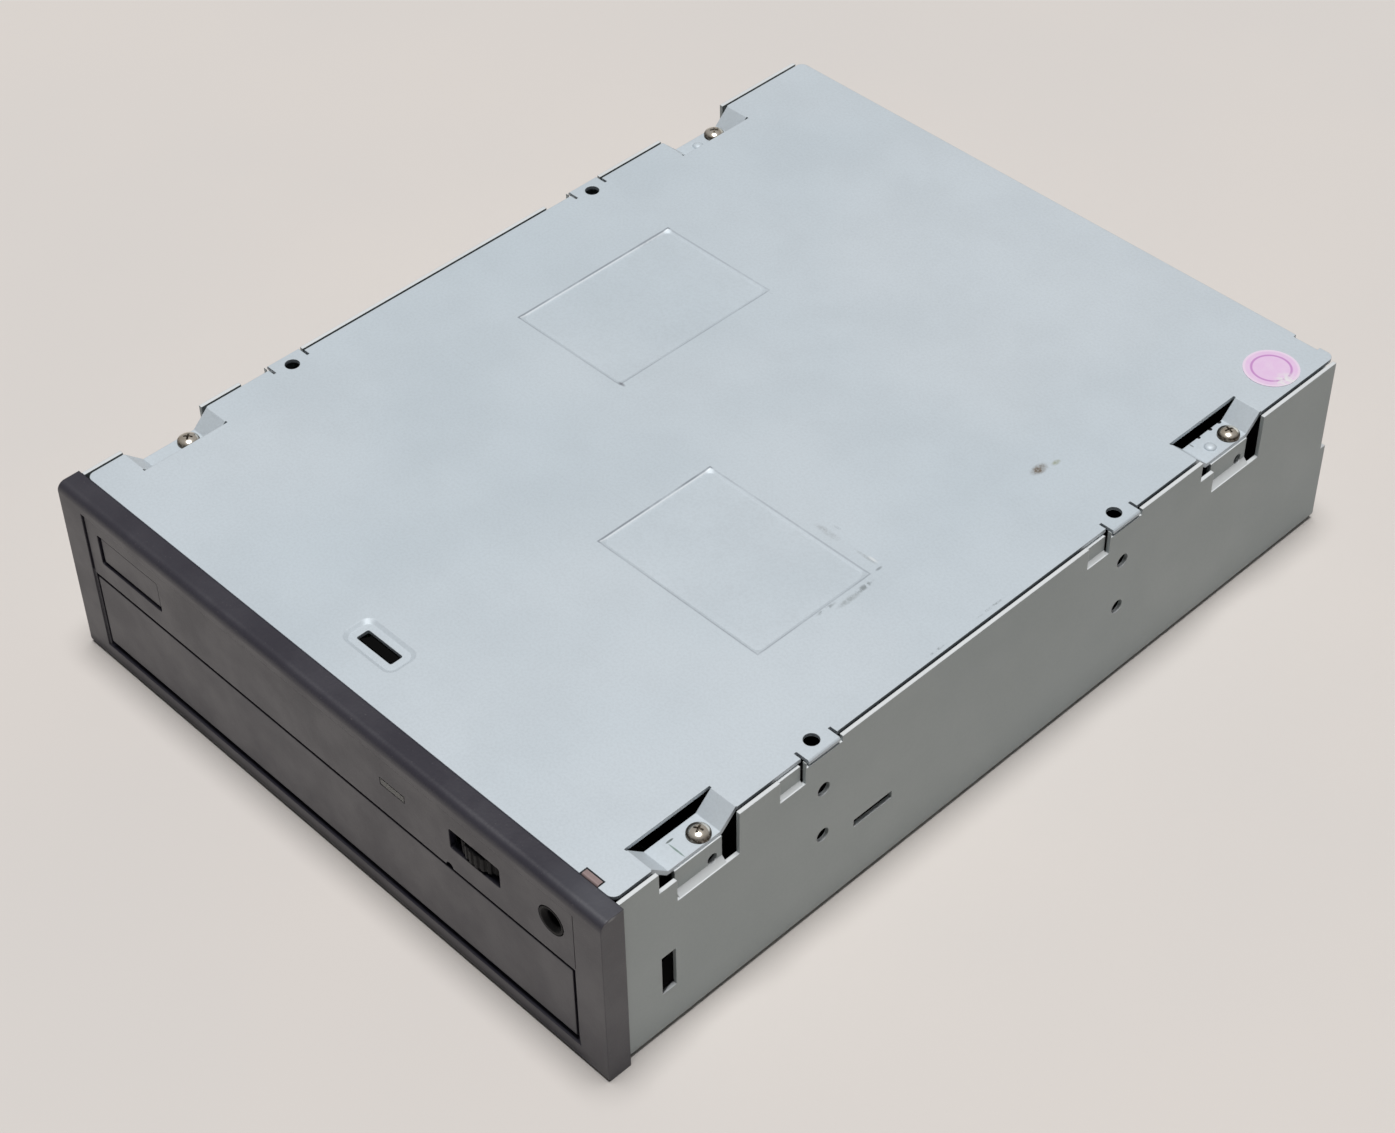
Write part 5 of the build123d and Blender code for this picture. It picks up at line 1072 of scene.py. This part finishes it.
@dataclass
class PanScrews:
    """Pan-head screws with a cross recess, in the places of a CAD node's four or six."""

    node: str
    body: str
    rows: Sequence[Point]
    radius: float = 2.2
    height: float = 1.5
    shank_radius: float = 1.1
    shank: float = 6.5
    up: bool = True
    recess: float = 0.66
    seed: int = 11
    rim: float = 0.3
    arm: Flat = (0.42, 1.7)
    arm_taper: float = 0.45
    arc: tuple[int, int] = (12, 8)
    tip: float = 0.4
    # Where the painted shade round the rim starts and over what share it grows to full, as shares of the
    # radius.
    shaded_rim: Flat = (0.74, 0.18)
    recess_floor: Flat = (0.84, 0.3)

    def head(self) -> bpy.types.Mesh:
        """One screw with painted shade on its rim and in its recess, its head's seat at the origin.

        Returns:
            The screw, in metres.
        """
        steps, step = self.arc
        turn = [math.radians(step * index) for index in range(steps)]
        dome = self.height - self.rim
        top = [(self.radius * math.cos(at), self.rim + dome * math.sin(at)) for at in turn]
        shank = [(0.0, -self.shank), (self.shank_radius, self.tip - self.shank), (self.shank_radius, 0.0)]
        solid = Form.lathe([*shank, (self.radius, 0.0), (self.radius, 0.2), *top, (0.0, self.height)])
        mesh = Form.done("screw", solid)
        size = (2 * self.radius * self.recess, *self.arm)
        for angle in (0.0, 90.0):
            work = Form.block(size, (0.0, 0.0, self.height + 0.2))
            for vert in work.verts:
                if vert.co.z < self.height:
                    vert.co.x *= self.arm_taper
            Form.turn(work, angle, "Z")
            mesh = Form.cut(mesh, Form.done("recess", work))
        # Painted shade: dark round the head's rim and on the floor of its cross recess.
        start, width = self.shaded_rim
        floor, dip = self.recess_floor
        rim_and_recess_shade = mesh.attributes.new("rim_and_recess_shade", "FLOAT", "POINT")
        for vert, item in zip(mesh.vertices, rim_and_recess_shade.data):
            away = math.hypot(vert.co.x, vert.co.y) / MM / self.radius
            low = vert.co.z / MM / self.height
            rim = min(1.0, max(0.0, (away - start) / width))
            deep = 1.0 if away < self.recess and low < floor - dip * away * away else 0.0
            item.value = max(rim, deep)
        if not self.up:
            mesh.transform(Matrix.Rotation(math.pi, 4, "X"))
        return mesh

    def build(self, finishes: Finishes) -> None:
        """Make all the screws as one piece, each turned at random.

        Args:
            finishes: The finishes to take from.
        """
        spread = {"loose": 360.0, "seed": self.seed, "replaces": (self.node,)}
        name = self.node + "_detailed"
        Repeated(name, self.head(), self.rows, self.body, "bright_steel", **spread).build(finishes)


@dataclass
class Socket:
    """A shrouded rear socket with its row or rows of pins."""

    node: str
    columns: int
    rows: int
    pitch: float
    pin: float
    wall: float
    slot: str
    corner: float = 0.0
    key: float = 0.0
    missing: tuple[int, int] = (-1, -1)
    depth: float = 8.5
    set_back: float = 1.0
    round_from: float = 0.8
    past: float = 1.0

    def shell(self, low: Vector, high: Vector) -> bpy.types.Mesh:
        """The shroud with its cavity and key slot.

        Args:
            low: The low corner of the node's box, in millimetres.
            high: Its high corner.

        Returns:
            The shroud's mesh.
        """
        mouth = high.y
        inner = ((low.x + self.wall, low.z + self.wall), (high.x - self.wall, high.z - self.wall))
        body = Form.prism(Form.rectangle((low.x, low.z), (high.x, high.z)), low.y, mouth)
        cavity = Form.prism(Form.rectangle(*inner, self.corner), mouth - self.depth, mouth + self.past)
        mesh = Form.cut(Form.done("shell", body), Form.done("cavity", cavity))
        if self.key:
            middle = (low.x + high.x) / 2
            sides = (middle - self.key / 2, middle + self.key / 2)
            outline = Form.rectangle((sides[0], low.z - self.past), (sides[1], low.z + self.wall + 0.5))
            slot = Form.prism(outline, mouth - self.depth + 1.0, mouth + self.past)
            mesh = Form.cut(mesh, Form.done("key", slot))
        return mesh

    def contact(self) -> bpy.types.Mesh:
        """One pin along Y with its foot at the origin, square or, where it is thick, round.

        Returns:
            The pin's mesh.
        """
        long = self.depth - self.set_back
        thick = self.pin > self.round_from
        radius, sides, nose = (self.pin, 20, 0.7) if thick else (self.pin * math.sqrt(2), 4, 0.35)
        profile = [(0.0, -0.4), (radius, -0.4), (radius, long - nose), (radius * 0.45, long), (0.0, long)]
        work = Form.lathe(profile, sides)
        if not thick:
            Form.turn(work, 45.0, "Z")
        Form.turn(work, -90.0, "X")
        return Form.done("pin", work)

    def build(self, finishes: Finishes) -> None:
        """Make the shroud and the pins.

        Args:
            finishes: The finishes to take from.
        """
        low, high = (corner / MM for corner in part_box(self.node))
        shell = self.shell(low, high)
        shell.materials.clear()
        shell.materials.append(finishes.made[self.slot])
        place_piece(self.node + "_shroud", shell, "housing", (self.node,))
        first_x = (low.x + high.x) / 2 - (self.columns - 1) / 2 * self.pitch
        first_z = (low.z + high.z) / 2 - (self.rows - 1) / 2 * self.pitch
        places = [
            (first_x + column * self.pitch, high.y - self.depth, first_z + row * self.pitch)
            for column in range(self.columns)
            for row in range(self.rows)
            if (column, row) != self.missing
        ]
        look = {"smooth": 50.0, "finish": "gold"}
        Repeated(self.node + "_pins", self.contact(), places, "housing", "copper", **look).build(finishes)


@dataclass
class LeadScrew:
    """The sled's lead screw: a core with journals and a rolled thread."""

    node: str = "lead_screw"
    lead: float = 3.0
    thread: float = 0.42
    journal: float = 3.5
    rounds: int = 28
    taper: float = 0.8
    groove: float = 0.6

    def build(self, finishes: Finishes) -> None:
        """Make the screw.

        Args:
            finishes: The finishes to take from.
        """
        low, high = (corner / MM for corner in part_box(self.node))
        centre = (low + high) / 2
        radius = (high.x - low.x) / 2
        core = radius - self.thread
        length = high.y - low.y
        threaded = length - 2 * self.journal
        shoulder = self.journal - self.groove
        ends = [(core * self.taper, 0.0), (core * self.taper, shoulder), (core, shoulder)]
        far = [(r, length - z) for r, z in reversed(ends)]
        work = Form.lathe([(0.0, 0.0), *ends, *far, (0.0, length)], 32)
        Form.turn(work, -90.0, "X")
        start = Form.done("core", work, (centre.x, low.y, centre.z))
        pattern = Pattern("lead_screw_thread")
        bead = pattern.ask("Thread", "Float", self.thread * MM)
        path = pattern.ask("Path", "Float", (radius - self.thread) * MM)
        feeds = {
            "Resolution": self.rounds,
            "Start Radius": path,
            "End Radius": path,
            "Height": pattern.ask("Height", "Float", threaded * MM),
            "Rotations": pattern.ask("Turns", "Float", threaded / self.lead),
        }
        coil = pattern.add("GeometryNodeCurveSpiral", feeds)
        bead_form = pattern.add("GeometryNodeCurvePrimitiveCircle", {"Resolution": 8, "Radius": bead})
        feeds = {"Curve": coil.outputs[0], "Profile Curve": bead_form.outputs[0], "Fill Caps": True}
        swept = pattern.add("GeometryNodeCurveToMesh", feeds)
        place = metres((centre.x, low.y + self.journal, centre.z))
        feeds = {"Geometry": swept.outputs[0], "Translation": place, "Rotation": (-math.pi / 2, 0.0, 0.0)}
        moved = pattern.add("GeometryNodeTransform", feeds)
        both = pattern.add("GeometryNodeJoinGeometry", {"Geometry": moved.outputs[0]})
        pattern.tree.links.new(pattern.inlet.outputs[0], both.inputs[0])
        mesh = pattern.grow(both.outputs[0], start, finishes.made["bright_steel"])
        place_piece("lead_screw_threaded", mesh, "lead_screw", (self.node,), 50.0)


@dataclass
class Chips:
    """The main board's four chips with their leads."""

    node: str = "board_chips"
    places: tuple[tuple[float, ...], ...] = (
        (18.0, 43.8, 20.0, 14.0),
        (-22.0, 41.8, 20.0, 20.0),
        (-4.0, 9.8, 18.0, 8.0),
        (34.0, 11.8, 10.0, 16.0),
    )
    four_sided: tuple[bool, ...] = (True, True, False, False)
    reach: float = 1.3
    stand_off: float = 0.12
    pitches: Flat = (0.8, 1.27)
    margin: float = 0.8
    bevel: float = 0.3

    def lead(self) -> bpy.types.Mesh:
        """One bent lead that points along X, its root at the origin's height."""
        upper = [(-0.3, 1.0), (0.35, 1.0), (0.62, 0.12), (1.3, 0.12)]
        lower = [(1.3, 0.0), (0.5, 0.0), (0.24, 0.86), (-0.3, 0.86)]
        return Form.done("lead", Form.prism(upper + lower, -0.2, 0.2))

    def build(self, finishes: Finishes) -> None:
        """Make the bodies and the leads.

        Args:
            finishes: The finishes to take from.
        """
        low, high = (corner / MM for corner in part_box(self.node))
        tall = high.z - low.z - self.stand_off
        bodies = []
        rows: list[Point] = []
        turns: list[float] = []
        for (x, y, width, length), four in zip(self.places, self.four_sided):
            across_x = four or width < length
            across_y = four or not across_x
            half_x = width / 2 - (self.reach if across_x else 0.0)
            half_y = length / 2 - (self.reach if across_y else 0.0)
            middle = (x, y, low.z + self.stand_off + tall / 2)
            bodies.append(Form.block((2 * half_x, 2 * half_y, tall), middle, self.bevel))
            pitch = self.pitches[0 if four else 1]
            for led, on_x, half, run in ((across_x, True, half_x, half_y), (across_y, False, half_y, half_x)):
                count = int(2 * (run - self.margin) / pitch) + 1 if led else 0
                for index in range(count):
                    along = (index - (count - 1) / 2) * pitch
                    for side in (1, -1):
                        place = (x + side * half, y + along) if on_x else (x + along, y + side * half)
                        rows.append((*place, low.z))
                        turns.append((0.0 if side > 0 else 180.0) if on_x else side * 90.0)
        mesh = Form.done("chip_bodies", Form.join(*bodies))
        mesh.materials.append(finishes.made["chip"])
        place_piece("chip_bodies", mesh, "housing", (self.node,))
        Repeated("chip_leads", self.lead(), rows, "housing", "steel", turns).build(finishes)


@dataclass
class Drive:
    """The drive's own pieces: what the CAD solids are too plain for."""

    finishes: Finishes
    front: float = -92.95
    tab_height: float = 38.2
    pin_pitch: float = 2.54
    bump: Flat = (68.9, 156.4)
    plate_screw: float = 2.3
    small_screw: float = 2.0
    board_screw_step: float = 100.0
    board_screw_across: float = 30.0

    def corners(self, node: str, radius: float, height: float) -> list[Point]:
        """Four places at the corners of a node's box, a radius inside it.

        Args:
            node: The CAD node.
            radius: Distance of each place from the box's sides.
            height: Their height.

        Returns:
            The four places, in millimetres.
        """
        low, high = (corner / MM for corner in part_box(node))
        columns = (low.x + radius, high.x - radius)
        return [(x, y, height) for x in columns for y in (low.y + radius, high.y - radius)]

    def screws(self) -> None:
        """Screws of the plate, the clamp bridge and the boards."""
        rows = self.corners("cover_screws", self.plate_screw, self.tab_height)
        PanScrews("cover_screws", "housing", rows, shank_radius=0.95, shank=6.9).build(self.finishes)
        small = {"radius": 1.95, "height": 1.4, "shank_radius": 1.15}
        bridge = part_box("clamp_bridge")[0].z / MM
        rows = self.corners("bridge_screws", self.small_screw, bridge)
        PanScrews("bridge_screws", "housing", rows, **small, shank=4.8, up=False, seed=5).build(self.finishes)
        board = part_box("main_board")[1].z / MM
        low, high = (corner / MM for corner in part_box("board_screws"))
        rows = self.corners("board_screws", self.small_screw, board)
        rear = [place for place in rows if place[1] > 0]
        rows = rear + [(place[0], place[1] - self.board_screw_step, board) for place in rear]
        rows += [(side * self.board_screw_across, low.y + self.small_screw, board) for side in (-1, 1)]
        PanScrews("board_screws", "housing", rows, **small, shank=6.8, seed=3).build(self.finishes)

    def bumps(self) -> None:
        """Round bumps pressed into the rear tabs."""
        dome = [(1.25, -0.2), (1.25, 0.0), (1.1, 0.22), (0.8, 0.42), (0.4, 0.53), (0.0, 0.56)]
        form = Form.done("bump", Form.lathe([(0.0, -0.2), *dome], 28))
        across, along = self.bump
        rows = [(side * across, self.front + along, self.tab_height) for side in (-1, 1)]
        Repeated("tab_bumps", form, rows, "housing", "pale_zinc", smooth=60.0).build(self.finishes)

    def sockets(self) -> None:
        """The four sockets in the rear wall."""
        pitch = self.pin_pitch
        black, white = "connector_plastic", "white_connector"
        for socket in (
            Socket("ide_header", 20, 2, pitch, 0.32, 1.2, black, key=4.6, missing=(10, 0)),
            Socket("power_socket", 4, 1, 2 * pitch, 1.05, 1.4, white, corner=2.0),
            Socket("audio_socket", 6, 1, pitch, 0.32, 1.0, white, key=3.2),
            Socket("jumper_block", 5, 2, pitch, 0.32, 0.6, black),
        ):
            socket.build(self.finishes)

    def build(self) -> None:
        """Make every piece."""
        self.screws()
        self.bumps()
        self.sockets()
        LeadScrew().build(self.finishes)
        Chips().build(self.finishes)


@dataclass
class Studio:
    """Camera, lamps and floor."""

    place: Point = (0.2903, -0.28185, 0.3923)
    ahead: Point = (-0.5216, 0.4979, -0.6928)
    right: Point = (0.6993, 0.7147, -0.0128)
    lens: float = 73.03
    sensor: float = 36.0
    floor_size: float = 6.0
    floor_colour: Colour = field(default_factory=lambda: srgb(217, 212, 208))
    world_strength: float = 0.07
    mirrored: float = 0.45
    key_strength: float = 2.85
    key_angle: float = 20.0
    key_tilt: Point = (0.0, 0.0, -1.0)
    key_colour: Colour = (1.0, 0.992, 0.985)
    sky_colour: Colour = (0.96, 0.98, 1.0)

    def camera(self) -> None:
        """Set the camera to the photograph's view."""
        data = bpy.data.cameras.new("camera")
        data.lens = self.lens
        data.sensor_width = self.sensor
        data.clip_start = 10 * MM
        camera = stand("camera", data)
        ahead = Vector(self.ahead).normalized()
        right = (Vector(self.right) - ahead * Vector(self.right).dot(ahead)).normalized()
        up = right.cross(ahead)
        turn = Matrix((right, up, -ahead)).transposed()
        camera.matrix_world = Matrix.Translation(self.place) @ turn.to_4x4()
        bpy.context.scene.camera = camera

    def floor(self) -> None:
        """Lay the pale floor."""
        mesh = bpy.data.meshes.new("floor")
        half = self.floor_size / 2
        corners = [(-half, -half, 0), (half, -half, 0), (half, half, 0), (-half, half, 0)]
        mesh.from_pydata(corners, [], [(0, 1, 2, 3)])
        floor = stand("floor", mesh)
        recipe = Recipe("floor")
        cloud = recipe.between(recipe.noise(9.0, 3.0, 0.5), 0.3, 0.7)
        warm = tuple(value * share for value, share in zip(self.floor_colour, (1.03, 1.02, 1.01)))
        colour = recipe.over(cloud, self.floor_colour, warm)
        mesh.materials.append(recipe.finish(Base_Color=colour, Roughness=0.75))

    def lamps(self) -> None:
        """Light everything from a wide soft ceiling, with a weak even sky."""
        data = bpy.data.lights.new("ceiling", "SUN")
        data.angle = math.radians(self.key_angle)
        data.energy = self.key_strength
        data.color = self.key_colour
        key = stand("ceiling", data)
        key.rotation_mode = "QUATERNION"
        key.rotation_quaternion = Vector(self.key_tilt).to_track_quat("-Z", "Y")
        world = bpy.data.worlds.new("world")
        bpy.context.scene.world = world
        world.use_nodes = True
        sky = Tree(world.node_tree)
        back = sky.tree.nodes["Background"]
        sky.feed(back.inputs["Color"], self.sky_colour)
        sky.feed(back.inputs["Strength"], self.world_strength)
        path = sky.add("ShaderNodeLightPath")
        result = back.outputs[0]
        rays = {"Is Glossy Ray": self.mirrored, "Is Transmission Ray": 1.0, "Is Camera Ray": 1.0}
        for name, share in rays.items():
            seen = sky.add("ShaderNodeBackground", {"Color": self.floor_colour, "Strength": share})
            mix = sky.add("ShaderNodeMixShader", {0: path.outputs[name], 1: result, 2: seen.outputs[0]})
            result = mix.outputs[0]
        sky.feed(sky.tree.nodes["World Output"].inputs["Surface"], result)

    def build(self) -> None:
        """Set up the whole studio."""
        self.camera()
        self.floor()
        self.lamps()
        bpy.context.scene.view_settings.view_transform = "Standard"


def main() -> None:
    """Dress the frame and add the pieces."""
    logging.basicConfig(level=logging.INFO, format="%(message)s")
    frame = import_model()
    Studio().build()
    finishes = Finishes()
    slots = {part["node"]: part["material_slot"] for part in frame["record"]["subparts"]}
    for name, node in frame["nodes"].items():
        finishes.dress(node, slots[name])
        LOG.info("dressed %s in %s", name, slots[name])
    Drive(finishes).build()


if __name__ == "__main__":
    main()
